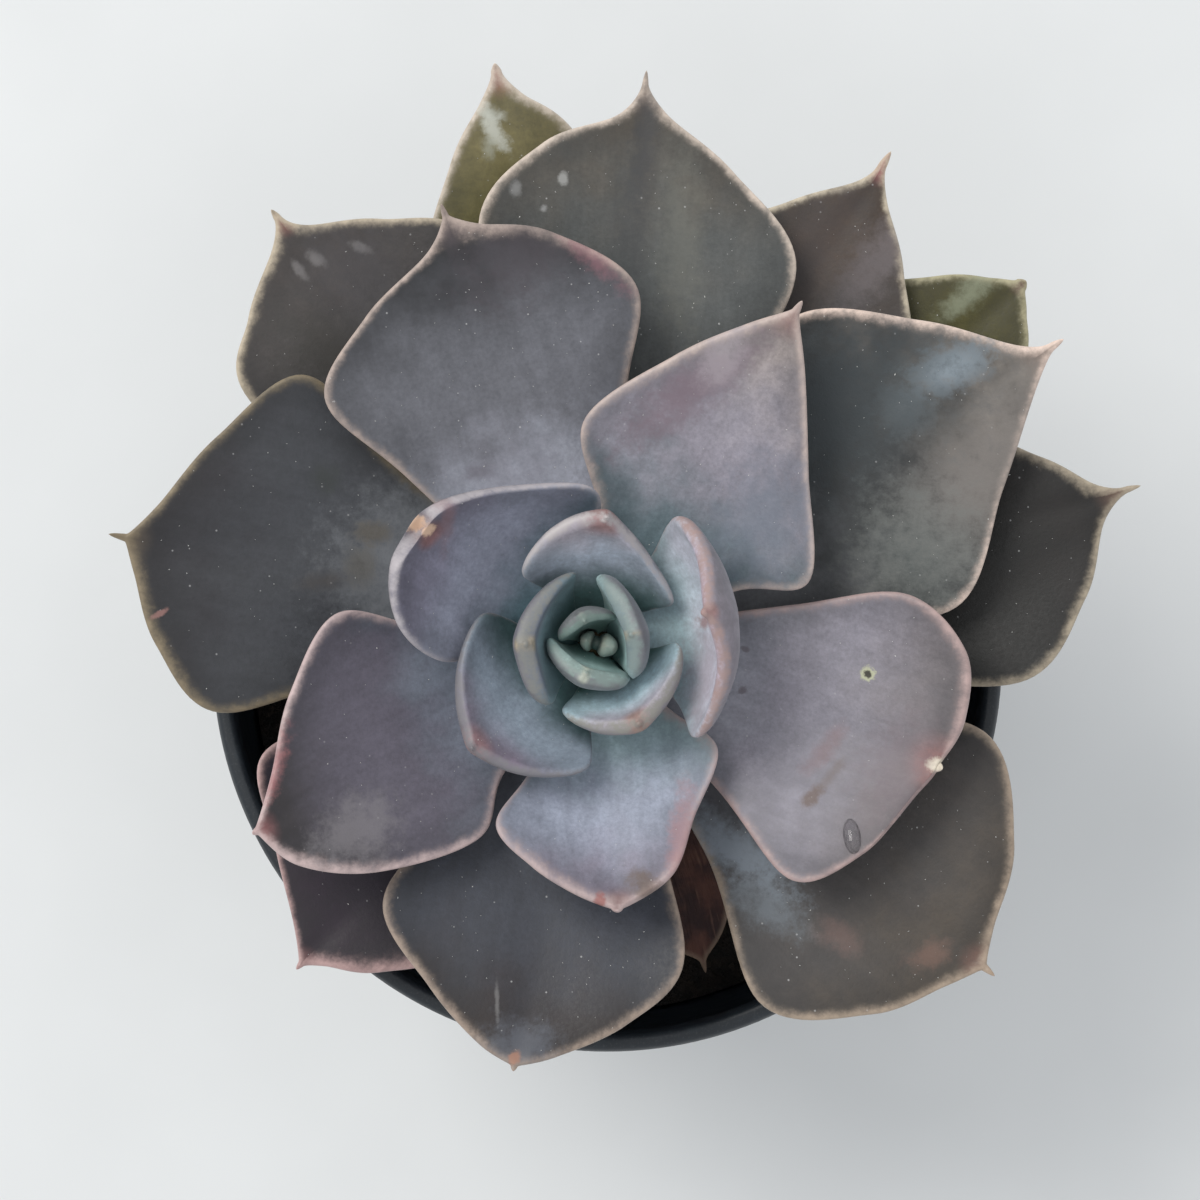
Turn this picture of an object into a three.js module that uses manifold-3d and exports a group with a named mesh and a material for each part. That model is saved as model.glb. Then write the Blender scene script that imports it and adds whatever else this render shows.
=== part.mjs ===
// A potted echeveria: one rosette of broad, waxy, spoon-shaped leaves on a short stem,
// standing in potting soil in a round plastic nursery pot.
// Millimetres, +Z up. The origin is the centre of the pot's underside.
import * as THREE from 'three';
import Module from 'manifold-3d';
import { mergeVertices } from 'three/addons/utils/BufferGeometryUtils.js';

const wasm = await Module();
wasm.setup();

// Driving dimensions
const clearance = 0.3;            // left between neighbours that touch
const pot = {
  height: 88,
  rimRadius: 52.5,                // outside of the rolled rim
  lipWidth: 2.4,                  // flat top of the rim
  bandHeight: 12,                 // collar below the rim
  bandStep: 1.6,                  // how far the collar stands out of the wall
  baseRadius: 37,
  wall: 1.3,
  floor: 1.6,
  footHeight: 2,                  // the recess that lets water out under the pot
  footWidth: 4,
  padRadius: 9,                   // flat pad in the middle of the underside
  sides: 48,
  drainHoles: 8,
  drainRadius: 3.2,
  drainCircle: 21,
};
const soil = { top: 75.5, lump: 0.7, rings: 6, sides: 40 };
const stem = { radius: 5, foot: 52, shoulder: 103, top: 111.2, buriedRadius: 5.6, sides: 20 };
const rosette = {
  x: -1.4, y: 2.2,                // the stem grows a little off the pot's axis
  firstBase: 110.5,               // where the youngest leaf joins the stem
  baseStep: 1.05,                 // each older leaf joins this much lower
  root: 0.8,                      // claws start this far inside the stem, then are cut back to it
  across: [-1, -0.66, -0.33, 0, 0.33, 0.66, 1],
};

// Every leaf, youngest first. azimuth: which way it points. tilt: how steep it is at the claw and
// at the tip. left and right: its margins between claw and tip, as [along, across] in mm.
// lift: how far each margin turns up. body: thickness at the midrib. margin: thickness at the margins.
// top: part of the thickness above the middle surface. claw: half width at the stem.
const leaves = [
  { azimuth: 118, length: 8.6, tilt: [48, 112], claw: 1.8, body: 2.2, margin: 1.4, top: 0.5, lift: [1, 2],
    left: [[2.5, 3], [5.2, 3.9], [7.6, 3]], right: [[2.5, 2.9], [5, 3.8], [7.4, 3]] },
  { azimuth: 250, length: 10, tilt: [48, 112], claw: 2.4, body: 2.8, margin: 1.9, top: 0.6, lift: [1.4, 2.6],
    left: [[2.4, 4], [5.2, 5.4], [8.4, 4.6]], right: [[2.4, 4.2], [5.4, 5.8], [8.6, 5]] },
  { azimuth: 15, length: 12, tilt: [50, 114], claw: 2.6, body: 3.2, margin: 2.3, top: 0.6, lift: [2.4, 1.8],
    left: [[2.8, 5.2], [6.6, 8], [10.2, 6.8]], right: [[2.8, 4.2], [6.2, 5.4], [10, 4.6]] },
  { azimuth: 180, length: 15, tilt: [38, 98], claw: 2.8, body: 3.3, margin: 2.3, top: 0.6, lift: [2.2, 5.2],
    left: [[4, 5.4], [9, 7.6], [12.8, 6.4]], right: [[3.8, 6.6], [8.6, 8.8], [12.8, 7]] },
  { azimuth: 298, length: 13.4, tilt: [40, 74], claw: 3.2, body: 3.2, margin: 2.1, top: 0.5, lift: [4, 3.4],
    left: [[3.2, 6.4], [7.2, 9], [11, 7.4]], right: [[3.4, 5.6], [7.6, 7.8], [11.2, 5.8]] },
  { azimuth: 85.5, length: 18, tilt: [34, 68], claw: 3.4, body: 3.2, margin: 2, top: 0.45, lift: [4.6, 4.6],
    left: [[4.2, 6.6], [10.4, 9.9], [15.6, 8], [17.8, 3.6]],
    right: [[3.2, 7], [6.8, 9.2], [10.6, 6.2], [14.4, 2.6]] },
  { azimuth: 13, length: 28.4, tilt: [12, 126], claw: 3.6, body: 3, margin: 2, top: 0.45, lift: [2.6, 6.2],
    sway: 0.8, left: [[6, 9], [13, 12.4], [20.4, 11.4]], right: [[5, 9], [12.4, 14.2], [21.4, 12]] },
  { azimuth: 220, length: 20, tilt: [24, 60], claw: 3.6, body: 3.1, margin: 1.9, top: 0.4, lift: [4.8, 5.6],
    left: [[4.6, 8], [11, 11.3], [16.4, 8]], right: [[4, 9.4], [9, 12], [15.4, 8.6]] },
  { azimuth: 147, length: 25.4, tilt: [20, 55], claw: 3.6, body: 2.9, margin: 1.7, top: 0.35,
    lift: [4.4, 6.4], left: [[8, 8.8], [15, 12.5], [24, 11.6], [28, 5.6]],
    right: [[6, 13.4], [11.6, 15.9], [18.4, 11.6], [25.8, 4.2]] },
  { azimuth: 274.5, length: 30.8, tilt: [18, 34], claw: 3.8, body: 2.4, margin: 1.3, lift: [3.4, 4.4],
    left: [[5.6, 9], [11.8, 14.2], [20, 10.6], [27.4, 7.2]],
    right: [[12, 9.4], [20.2, 14.3], [25.4, 10.4], [28.8, 5.2]] },
  { azimuth: 59, length: 45.5, tilt: [14, 24], claw: 4, body: 2.4, margin: 1.2, lift: [3, 4.6],
    left: [[10.2, 8.4], [20, 15.8], [32.8, 10.2], [40.8, 4.4]],
    right: [[11, 12], [17.6, 19], [28.8, 11.9], [39.2, 5]] },
  { azimuth: 209, length: 45.6, tilt: [13, 24], claw: 4, body: 2.4, margin: 1.3, lift: [2.6, 6],
    left: [[14.2, 8.8], [21.6, 14.5], [35, 11.9], [43, 6.4]],
    right: [[14, 12], [24.6, 19], [34, 13.2], [40.4, 5.4]] },
  { azimuth: 340, length: 42, tilt: [12, 20], claw: 4.2, body: 2.5, margin: 1.2, lift: [3, 3.6],
    left: [[18, 13], [31.6, 19.1], [41, 14.9], [43.5, 6.6]],
    right: [[17, 12.4], [30.4, 19.7], [37.4, 13.6], [39.8, 5.8]] },
  { azimuth: 109.5, length: 53.4, tilt: [10, 20], claw: 4.2, body: 2.6, margin: 1.1, lift: [3, 3],
    left: [[24, 15.8], [37.2, 22.1], [45, 13.8], [49.6, 4]],
    right: [[24, 13.8], [37.6, 19.8], [47.4, 11.9], [51.2, 3.6]] },
  { azimuth: 259, length: 50.6, tilt: [8, 16], claw: 4.4, body: 2.6, lift: [2.4, 2.6],
    left: [[21, 13.8], [34.6, 18.7], [43.2, 13], [48.6, 5]],
    right: [[21, 14.6], [34, 20.4], [43.2, 12.5], [48.8, 5]] },
  { azimuth: 33, length: 64.9, tilt: [8, 14], claw: 4.4, body: 2.6, lift: [2.4, 2.4],
    left: [[23, 14.6], [40, 21.1], [53, 11.8], [61, 2.7]],
    right: [[22, 14], [37.4, 21.3], [50, 11.9], [60, 3.6]] },
  { azimuth: 167.5, length: 57.2, tilt: [8, 13], claw: 4.4, body: 2.6, lift: [2.2, 2.6],
    left: [[25, 11.6], [41.6, 19.3], [50.8, 12.6], [55.2, 4.4]],
    right: [[25, 16], [39.8, 25.3], [49, 15.1], [54.2, 5]] },
  { azimuth: 320, length: 60.4, tilt: [6, 12], claw: 4.6, body: 2.6, lift: [2.2, 2.2],
    left: [[25, 14.6], [42, 23.2], [53.6, 14.5], [58.2, 4.6]],
    right: [[24, 12], [42, 22.1], [53.6, 13.9], [58.2, 5.2]] },
  { azimuth: 85, length: 67.4, tilt: [7, 11], claw: 4.6, body: 2.6, lift: [2, 2],
    left: [[29, 14], [48.6, 19.8], [59, 12.5], [63.2, 3.2]],
    right: [[29, 15.4], [46.4, 21.4], [57.4, 12.3], [63.6, 3.4]] },
  { azimuth: 227.5, length: 52, tilt: [8, 11], claw: 4.6, body: 2.6, lift: [2, 3],
    left: [[20, 11], [36, 14.6], [46.2, 8.2], [50.2, 2.4]],
    right: [[20, 14.2], [35.6, 22], [43, 13.2], [48.6, 4.6]] },
  { azimuth: 16, length: 66.8, tilt: [7, 10], claw: 4.6, body: 2.6, lift: [1.8, 2],
    left: [[26, 11], [45, 15], [57.4, 7.2], [63, 1.8]],
    right: [[26, 13.4], [47.4, 20.2], [58, 12.1], [62.8, 3.3]] },
  { azimuth: 127, length: 64.2, tilt: [6, 10], claw: 4.8, body: 2.6, lift: [1.8, 1.8],
    left: [[25, 11.6], [48.4, 17.2], [56.4, 10.8], [61.4, 3]],
    right: [[25, 12], [47, 19], [56.4, 10.5], [61.2, 2.5]] },
  { azimuth: 59, length: 67.7, tilt: [7, 9], claw: 4.8, body: 2.6, lift: [1.6, 1.6],
    left: [[25, 11], [45, 16.4], [57.6, 8], [64, 1.9]],
    right: [[25, 11], [45, 17], [57.4, 9.5], [63.8, 3]] },
  { azimuth: 100, length: 70.7, tilt: [6, 8], claw: 4.8, body: 2.6, lift: [1.6, 1.6],
    left: [[24, 9.6], [45, 14], [60, 8.1], [67, 2.9]],
    right: [[24, 10], [45, 15.4], [61.6, 8.7], [67.4, 2.9]] },
  { azimuth: 40, length: 67.8, tilt: [6, 8], claw: 4.8, body: 2.6, lift: [1.6, 1.6],
    left: [[24, 10.4], [45, 16], [60.2, 8.1], [65.6, 3]],
    right: [[24, 10.4], [45, 16.4], [61, 8.8], [66, 3.3]] },
];

// The unopened leaves at the growing point, in one small body
const heart = {
  core: 0.9,
  buds: [
    { azimuth: 345, length: 5, tilt: [68, 108], claw: 1.2, body: 2.3, margin: 1.2, top: 0.5, out: 1.1,
      lift: [0.5, 0.5], left: [[1.2, 1.4], [2.6, 1.5], [4, 1.1]], right: [[1.2, 1.4], [2.6, 1.5], [4, 1.1]] },
    { azimuth: 165, length: 4.6, tilt: [70, 104], claw: 0.9, body: 1.6, margin: 0.9, top: 0.5, out: 0.9,
      lift: [0.4, 0.4], left: [[1, 1.1], [2.2, 1.3], [3.6, 0.8]], right: [[1, 1.1], [2.2, 1.3], [3.6, 0.8]] },
  ],
};

// A withered leaf still on the stem, lying down on the soil
const withered = { azimuth: 292, length: 41, tilt: [4, -14], claw: 3, body: 1, lift: [4, 3], base: 83,
  left: [[12, 5], [26, 7.4], [36, 4.6]], right: [[12, 5], [26, 6.6], [36, 4.4]], sway: -3 };

// A small shed leaf on the soil by the pot wall
const shed = { azimuth: 289, reach: 43.5, size: [4.6, 2.6, 1.5], turn: 25 };

const degrees = Math.PI / 180;
const usual = { margin: 0.9, top: 0.3 };  // of the older, thinner leaves and of every leaf's tip

// Solids from and to geometries
function toSolid(geometry) {
  const bare = new THREE.BufferGeometry();
  bare.setAttribute('position', geometry.getAttribute('position'));
  bare.setIndex(geometry.getIndex());
  const merged = mergeVertices(bare, 1e-4);
  return new wasm.Manifold(new wasm.Mesh({
    numProp: 3,
    vertProperties: new Float32Array(merged.getAttribute('position').array),
    triVerts: new Uint32Array(merged.getIndex().array),
  }));
}

function toGeometry(solid) {
  const mesh = solid.getMesh();
  const geometry = new THREE.BufferGeometry();
  geometry.setAttribute('position', new THREE.BufferAttribute(mesh.vertProperties, 3));
  geometry.setIndex(new THREE.BufferAttribute(mesh.triVerts, 1));
  geometry.computeVertexNormals();
  return geometry;
}

// The largest body of a solid, without scraps that a cut may leave
function mainBody(solid) {
  return solid.decompose().reduce((best, body) => (body.volume() > best.volume() ? body : best));
}

function lathe(profile, sides) {
  const points = profile.map(([radius, height]) => new THREE.Vector2(radius, height));
  const geometry = new THREE.LatheGeometry(points, sides);
  geometry.rotateX(Math.PI / 2);
  return toSolid(geometry);
}

// Leaves
function widest(points) {
  return Math.max(...points.map(([, across]) => across));
}

function leafShape(row, grow) {
  const { margin, top } = { ...usual, ...row };
  const marginLine = (points) => new THREE.SplineCurve(
    [[0, row.claw], ...points, [row.length, 0]].map(([along, across]) => new THREE.Vector2(along, across)),
  );
  const sides = {
    left: { line: marginLine(row.left), lift: row.lift[0], widest: widest(row.left) },
    right: { line: marginLine(row.right), lift: row.lift[1], widest: widest(row.right) },
  };
  const startTilt = row.tilt[0] * degrees;
  const bend = (row.tilt[1] - row.tilt[0]) * degrees / row.length;
  const aim = row.azimuth * degrees;

  // A point of the leaf: station 0 to 1 from claw to tip, v -1 to 1 from right to left margin,
  // face 1 for the upper side and -1 for the lower side
  return (station, v, face) => {
    const left = sides.left.line.getPoint(station);
    const right = sides.right.line.getPoint(station);
    const side = v < 0 ? sides.right : sides.left;
    const edge = v < 0 ? right : left;
    const middle = (left.x + right.x) / 2;
    const along = middle + (edge.x - middle) * v * v - rosette.root * (1 - station) + grow * station;
    const sideways = v * (edge.y + grow);
    const rim = usual.margin + (margin - usual.margin) * (1 - station ** 12);
    const thickness = rim + (row.body - rim) * (1 - v * v) * (1 - station ** 4);
    const share = face > 0 ? top : top - 1;
    const height = side.lift * (v * edge.y / side.widest) ** 2 + thickness * share + grow * face;
    const tilt = startTilt + bend * along;
    const out = row.out + (Math.sin(tilt) - Math.sin(startTilt)) / bend - height * Math.sin(tilt);
    const up = row.base - (Math.cos(tilt) - Math.cos(startTilt)) / bend + height * Math.cos(tilt);
    const swing = sideways + (row.sway ?? 0) * (along / row.length) ** 2;
    return [
      rosette.x + out * Math.cos(aim) - swing * Math.sin(aim),
      rosette.y + out * Math.sin(aim) + swing * Math.cos(aim),
      up,
    ];
  };
}

function leafSolid(row, grow = 0) {
  const shape = leafShape(row, grow);
  const stations = row.length > 40 ? 12 : 8;
  const { across } = rosette;
  const positions = [];
  const triangles = [];
  const rowSize = across.length;
  const faceSize = stations * rowSize + 1;
  for (const face of [1, -1]) {
    for (let i = 0; i < stations; i += 1) {
      for (const v of across) positions.push(...shape(i / stations, v, face));
    }
    positions.push(...shape(1, 0, face));
  }
  const vertex = (face, i, j) => face * faceSize + Math.min(i * rowSize + j, faceSize - 1);
  const corner = (face, i, j) => (i === stations ? (face + 1) * faceSize - 1 : vertex(face, i, j));
  const addTriangle = (a, b, c) => {
    if (a !== b && b !== c && a !== c) triangles.push(a, b, c);
  };
  const addQuad = (a, b, c, d) => {
    addTriangle(a, b, c);
    addTriangle(a, c, d);
  };
  for (let i = 0; i < stations; i += 1) {
    for (let j = 0; j < rowSize - 1; j += 1) {
      const [a, b, c, d] = [[i, j], [i + 1, j], [i + 1, j + 1], [i, j + 1]];
      addQuad(corner(0, ...a), corner(0, ...b), corner(0, ...c), corner(0, ...d));
      const under = [a, b, c, d].map((place) => corner(1, ...place));
      addTriangle(under[0], under[2], under[1]);
      addTriangle(under[0], under[3], under[2]);
    }
    const last = rowSize - 1;
    addQuad(corner(0, i, 0), corner(1, i, 0), corner(1, i + 1, 0), corner(0, i + 1, 0));
    addQuad(corner(0, i, last), corner(0, i + 1, last), corner(1, i + 1, last), corner(1, i, last));
  }
  for (let j = 0; j < rowSize - 1; j += 1) {
    addQuad(corner(0, 0, j), corner(0, 0, j + 1), corner(1, 0, j + 1), corner(1, 0, j));
  }
  const geometry = new THREE.BufferGeometry();
  geometry.setAttribute('position', new THREE.Float32BufferAttribute(positions, 3));
  geometry.setIndex(triangles);
  return toSolid(geometry);
}

// Each leaf joins the stem lower than the one before it, the youngest nearer the stem's tip
function placeLeaf(row, index) {
  const order = index + 1;
  return { ...row, base: rosette.firstBase - rosette.baseStep * index,
    out: Math.min(stem.radius + clearance, 1.2 + 0.55 * order) };
}

function stemProfile(grow) {
  return [
    [0, stem.foot - grow],
    [stem.buriedRadius + grow, stem.foot - grow],
    [stem.buriedRadius + grow, soil.top + 1],
    [stem.radius + grow, soil.top + 6],
    [stem.radius - 0.1 + grow, stem.shoulder],
    [1.2 + grow, stem.top - 0.8 + grow],
    [0, stem.top + grow],
  ];
}

function stemSolid(grow = 0) {
  return lathe(stemProfile(grow), stem.sides).translate([rosette.x, rosette.y, 0]);
}

function heartSolid(grow = 0) {
  const base = stem.top - 0.6;
  const core = new THREE.SphereGeometry(heart.core + grow, 10, 7);
  core.translate(rosette.x, rosette.y, base + heart.core);
  return heart.buds.reduce(
    (body, bud) => body.add(leafSolid({ ...bud, base }, grow)),
    toSolid(core),
  );
}

// Pot
function wallRadius(height) {
  const slope = (pot.rimRadius - pot.bandStep - 0.8 - pot.baseRadius) / (pot.height - pot.bandHeight);
  return pot.baseRadius + slope * height;
}

function potSolid() {
  const { height, rimRadius, lipWidth, bandHeight, bandStep, wall, footHeight, footWidth } = pot;
  const bandFoot = height - bandHeight;
  const innerFoot = wallRadius(bandFoot) - wall;
  const floorTop = footHeight + pot.floor;
  const shell = lathe([
    [0, 0],
    [pot.padRadius, 0],
    [pot.padRadius + 1, footHeight],
    [pot.baseRadius - footWidth - 1, footHeight],
    [pot.baseRadius - footWidth, 0],
    [pot.baseRadius - 0.8, 0],
    [pot.baseRadius, 0.8],
    [wallRadius(bandFoot), bandFoot],
    [wallRadius(bandFoot) + bandStep, bandFoot + 0.8],
    [rimRadius - 0.1, height - 2.2],
    [rimRadius, height - 1],
    [rimRadius - 0.6, height],
    [rimRadius - lipWidth, height],
    [rimRadius - lipWidth - 0.5, height - 1.6],
    [innerFoot + 0.9, bandFoot + 2],
    [innerFoot, bandFoot - 1],
    [wallRadius(floorTop + 2) - wall, floorTop + 2],
    [wallRadius(floorTop) - wall - 2, floorTop],
    [0, floorTop],
  ], pot.sides);
  const cutters = [];
  for (let hole = 0; hole < pot.drainHoles; hole += 1) {
    const angle = (hole + 0.5) * 2 * Math.PI / pot.drainHoles;
    const cutter = new THREE.CylinderGeometry(pot.drainRadius, pot.drainRadius, 12, 16);
    cutter.rotateX(Math.PI / 2);
    cutter.translate(pot.drainCircle * Math.cos(angle), pot.drainCircle * Math.sin(angle), 3);
    cutters.push(toSolid(cutter));
  }
  return cutters.reduce((body, cutter) => body.subtract(cutter), shell);
}

// Soil: it fills the pot to a lumpy surface, with a plain hole for the stem
function soilHeight(x, y) {
  return soil.top + soil.lump * (Math.sin(x * 0.31 + 0.6) * Math.cos(y * 0.27 - 0.4)
    + 0.6 * Math.sin(x * 0.52 - y * 0.43 + 1.1));
}

function soilInnerRadius(height) {
  return wallRadius(height) - pot.wall - clearance;
}

function soilSolid() {
  const { rings, sides } = soil;
  const bottom = pot.footHeight + pot.floor + clearance;
  const levels = [
    [soilInnerRadius(bottom) - 2.2, bottom],
    [soilInnerRadius(bottom + 2.2) - 0.1, bottom + 2.4],
  ];
  const positions = [0, 0, bottom];
  const triangles = [];
  const addRing = (radiusAt, heightAt) => {
    for (let k = 0; k < sides; k += 1) {
      const angle = (k + 0.5) * 2 * Math.PI / sides;
      const x = radiusAt * Math.cos(angle);
      const y = radiusAt * Math.sin(angle);
      positions.push(x, y, heightAt(x, y));
    }
  };
  levels.forEach(([radius, height]) => addRing(radius, () => height));
  for (let ring = rings; ring > 0; ring -= 1) {
    addRing((soilInnerRadius(soil.top - 2) - 0.1) * ring / rings, soilHeight);
  }
  const ringCount = levels.length + rings;
  const top = positions.length / 3;
  positions.push(0, 0, soilHeight(0, 0));
  for (let k = 0; k < sides; k += 1) {
    const next = (k + 1) % sides;
    triangles.push(0, 1 + next, 1 + k);
    for (let ring = 0; ring < ringCount - 1; ring += 1) {
      const low = 1 + ring * sides;
      const high = low + sides;
      triangles.push(low + k, low + next, high + next, low + k, high + next, high + k);
    }
    const last = 1 + (ringCount - 1) * sides;
    triangles.push(last + k, last + next, top);
  }
  const geometry = new THREE.BufferGeometry();
  geometry.setAttribute('position', new THREE.Float32BufferAttribute(positions, 3));
  geometry.setIndex(triangles);
  return toSolid(geometry).subtract(stemSolid(clearance));
}

function shedLeafSolid() {
  const [long, wide, high] = shed.size;
  const x = rosette.x + shed.reach * Math.cos(shed.azimuth * degrees);
  const y = rosette.y + shed.reach * Math.sin(shed.azimuth * degrees);
  const geometry = new THREE.SphereGeometry(1, 14, 9);
  geometry.rotateX(Math.PI / 2);
  geometry.scale(long / 2, wide / 2, high / 2);
  geometry.rotateZ(shed.turn * degrees);
  geometry.translate(x, y, soilHeight(x, y) + high / 2 + clearance);
  return toSolid(geometry);
}

// Assembly
function material(color, roughness) {
  return new THREE.MeshStandardMaterial({ color, roughness, metalness: 0 });
}

const group = new THREE.Group();

function addPiece(name, solid, look) {
  const mesh = new THREE.Mesh(toGeometry(solid), look);
  mesh.name = name;
  group.add(mesh);
}

const plastic = material(0x14181c, 0.42);
const earth = material(0x2b211a, 0.95);
const bark = material(0x6b5a4a, 0.85);
const youngLeaf = material(0x6e8287, 0.55);
const grownLeaf = material(0x8c828c, 0.55);
const oldLeaf = material(0x5c6050, 0.6);
const dryLeaf = material(0x5a4038, 0.85);

addPiece('pot', potSolid(), plastic);
addPiece('soil', soilSolid(), earth);
addPiece('stem', stemSolid(), bark);
addPiece('heart', mainBody(heartSolid().subtract(stemSolid(clearance))), youngLeaf);

// Each leaf is pressed back by the younger leaves that lie on it
const placed = leaves.map(placeLeaf);
const grown = placed.map((row) => leafSolid(row, clearance));
const centre = stemSolid(clearance).add(heartSolid(clearance));
placed.forEach((row, index) => {
  const body = grown.slice(Math.max(0, index - 13), index).reduce(
    (cut, younger) => cut.subtract(younger),
    leafSolid(row).subtract(centre),
  );
  const look = [youngLeaf, grownLeaf, oldLeaf][Math.floor(index / 9)];
  addPiece(`leaf_${String(index + 1).padStart(2, '0')}`, mainBody(body), look);
});

addPiece('withered_leaf', mainBody(
  leafSolid({ ...withered, out: stem.radius + clearance }).subtract(stemSolid(clearance)),
), dryLeaf);
addPiece('shed_leaf', shedLeafSolid(), oldLeaf);

export default group;
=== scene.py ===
import math
import bmesh
import bpy
import numpy as np
from mathutils import Matrix, Vector
from mathutils.bvhtree import BVHTree


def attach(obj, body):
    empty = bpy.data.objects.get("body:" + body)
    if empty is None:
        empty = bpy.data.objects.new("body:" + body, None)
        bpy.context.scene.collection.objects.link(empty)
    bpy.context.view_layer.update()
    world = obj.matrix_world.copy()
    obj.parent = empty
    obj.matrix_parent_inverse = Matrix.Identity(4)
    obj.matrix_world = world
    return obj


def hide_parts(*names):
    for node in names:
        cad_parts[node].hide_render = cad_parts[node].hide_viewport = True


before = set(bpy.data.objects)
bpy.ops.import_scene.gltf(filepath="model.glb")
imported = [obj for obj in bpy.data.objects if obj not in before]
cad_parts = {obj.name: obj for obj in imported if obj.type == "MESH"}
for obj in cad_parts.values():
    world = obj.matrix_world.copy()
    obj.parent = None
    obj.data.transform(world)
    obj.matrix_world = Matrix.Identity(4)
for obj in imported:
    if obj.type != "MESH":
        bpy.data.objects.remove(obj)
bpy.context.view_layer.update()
mm = 0.001
leafLabels = ("along", "aside", "rim", "upper")  # each point's place on its leaf, and which face it is on
bpy.context.scene.view_settings.view_transform = "Standard"  # plain colours, as a phone picture shows them


# Meshes from points in millimetres
def makePiece(name, points, faces, values=None):
    mesh = bpy.data.meshes.new(name)
    mesh.from_pydata((np.asarray(points) * mm).tolist(), [], faces)
    for label, numbers in (values or {}).items():
        layer = mesh.attributes.new(label, "FLOAT", "POINT")
        layer.data.foreach_set("value", np.asarray(numbers, np.float32))
    mesh.shade_smooth()
    mesh.update()
    piece = bpy.data.objects.new(name, mesh)
    bpy.context.scene.collection.objects.link(piece)
    return piece


def meshPoints(mesh):
    numbers = np.zeros(len(mesh.vertices) * 3, np.float32)
    mesh.vertices.foreach_get("co", numbers)
    return numbers.reshape(-1, 3) / mm


def movePoints(mesh, places):
    mesh.vertices.foreach_set("co", (places * mm).astype(np.float32).ravel())


def meshValues(mesh, label):
    numbers = np.zeros(len(mesh.vertices), np.float32)
    mesh.attributes[label].data.foreach_get("value", numbers)
    return numbers


def bake(piece):  # the evaluated shape becomes the piece's own plain mesh
    graph = bpy.context.evaluated_depsgraph_get()
    mesh = bpy.data.meshes.new_from_object(piece.evaluated_get(graph))
    piece.modifiers.clear()
    piece.data = mesh
    return piece


def turnOutwards(piece, sharpAngle=None):
    shape = bmesh.new()
    shape.from_mesh(piece.data)
    bmesh.ops.recalc_face_normals(shape, faces=shape.faces)
    shape.to_mesh(piece.data)
    shape.free()
    piece.data.shade_smooth()
    if sharpAngle:
        piece.data.set_sharp_from_angle(angle=math.radians(sharpAngle))


def smoothStep(low, high, value):
    share = np.clip((value - low) / (high - low), 0, 1)
    return share * share * (3 - 2 * share)


# Node trees
def addNode(tree, kind, inputs=None, **settings):
    made = tree.nodes.new(kind)
    for label, value in settings.items():
        setattr(made, label, value)
    for key, value in (inputs or {}).items():
        socket = made.inputs[key]
        if isinstance(value, bpy.types.NodeSocket):
            tree.links.new(value, socket)
        else:
            socket.default_value = value
    return made


def addMath(tree, operation, *values):
    return addNode(tree, "ShaderNodeMath", dict(enumerate(values)), operation=operation).outputs[0]


def addSwing(tree, value, middle, reach):  # how far a value is from its middle, times the reach
    return addMath(tree, "MULTIPLY", addMath(tree, "SUBTRACT", value, middle), reach)


def addVector(tree, operation, *values):
    made = addNode(tree, "ShaderNodeVectorMath", dict(enumerate(values)), operation=operation)
    return made.outputs["Value" if operation == "LENGTH" else 0]


def addPoint(tree, x=0.0, y=0.0, z=0.0):
    return addNode(tree, "ShaderNodeCombineXYZ", {0: x, 1: y, 2: z}).outputs[0]


def splitPoint(tree, place):
    return addNode(tree, "ShaderNodeSeparateXYZ", {0: place}).outputs


def addRange(tree, value, low, high, outLow=0.0, outHigh=1.0, smooth=True):
    inputs = {"Value": value, "From Min": low, "From Max": high, "To Min": outLow, "To Max": outHigh}
    kind = "SMOOTHSTEP" if smooth else "LINEAR"
    return addNode(tree, "ShaderNodeMapRange", inputs, interpolation_type=kind).outputs[0]


def addMix(tree, share, first, second, blend="MIX"):
    inputs = {0: share, 6: first, 7: second}
    return addNode(tree, "ShaderNodeMix", inputs, data_type="RGBA", blend_type=blend).outputs[2]


def addShade(tree, colour, light):  # the colour made lighter or darker
    return addMix(tree, 1.0, colour, addPoint(tree, light, light, light), "MULTIPLY")


def addNoise(tree, place, scale, detail=2.0, roughness=0.5):
    inputs = {"Vector": place, "Scale": scale, "Detail": detail, "Roughness": roughness}
    return addNode(tree, "ShaderNodeTexNoise", inputs).outputs["Fac"]


def addAttribute(tree, label):
    return addNode(tree, "ShaderNodeAttribute", attribute_name=label).outputs["Fac"]


def objectPlace(tree):  # the object's own coordinates, in millimetres
    place = addNode(tree, "ShaderNodeTexCoord").outputs["Object"]
    return addNode(tree, "ShaderNodeVectorMath", {0: place, 3: 1 / mm}, operation="SCALE").outputs[0]


def makeGroup(name, kind, inputs, outputs):
    tree = bpy.data.node_groups.new(name, kind)
    for label, socketKind, value in inputs:
        socket = tree.interface.new_socket(name=label, in_out="INPUT", socket_type=socketKind)
        if value is not None:
            socket.default_value = value
    for label, socketKind in outputs:
        tree.interface.new_socket(name=label, in_out="OUTPUT", socket_type=socketKind)
    return tree, tree.nodes.new("NodeGroupInput").outputs, tree.nodes.new("NodeGroupOutput").inputs


def placeGroup(tree, group, inputs):
    return addNode(tree, "ShaderNodeGroup", inputs, node_tree=group).outputs


def screen(red, green, blue, alpha=1.0):  # a colour as a screen shows it, 0 to 255
    shares = [number / 255 for number in (red, green, blue)]
    return (*[s / 12.92 if s <= 0.04045 else ((s + 0.055) / 1.055) ** 2.4 for s in shares], alpha)


def makeMaterial(name):
    material = bpy.data.materials.new(name)
    material.use_nodes = True
    return material, material.node_tree, material.node_tree.nodes["Principled BSDF"]


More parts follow.
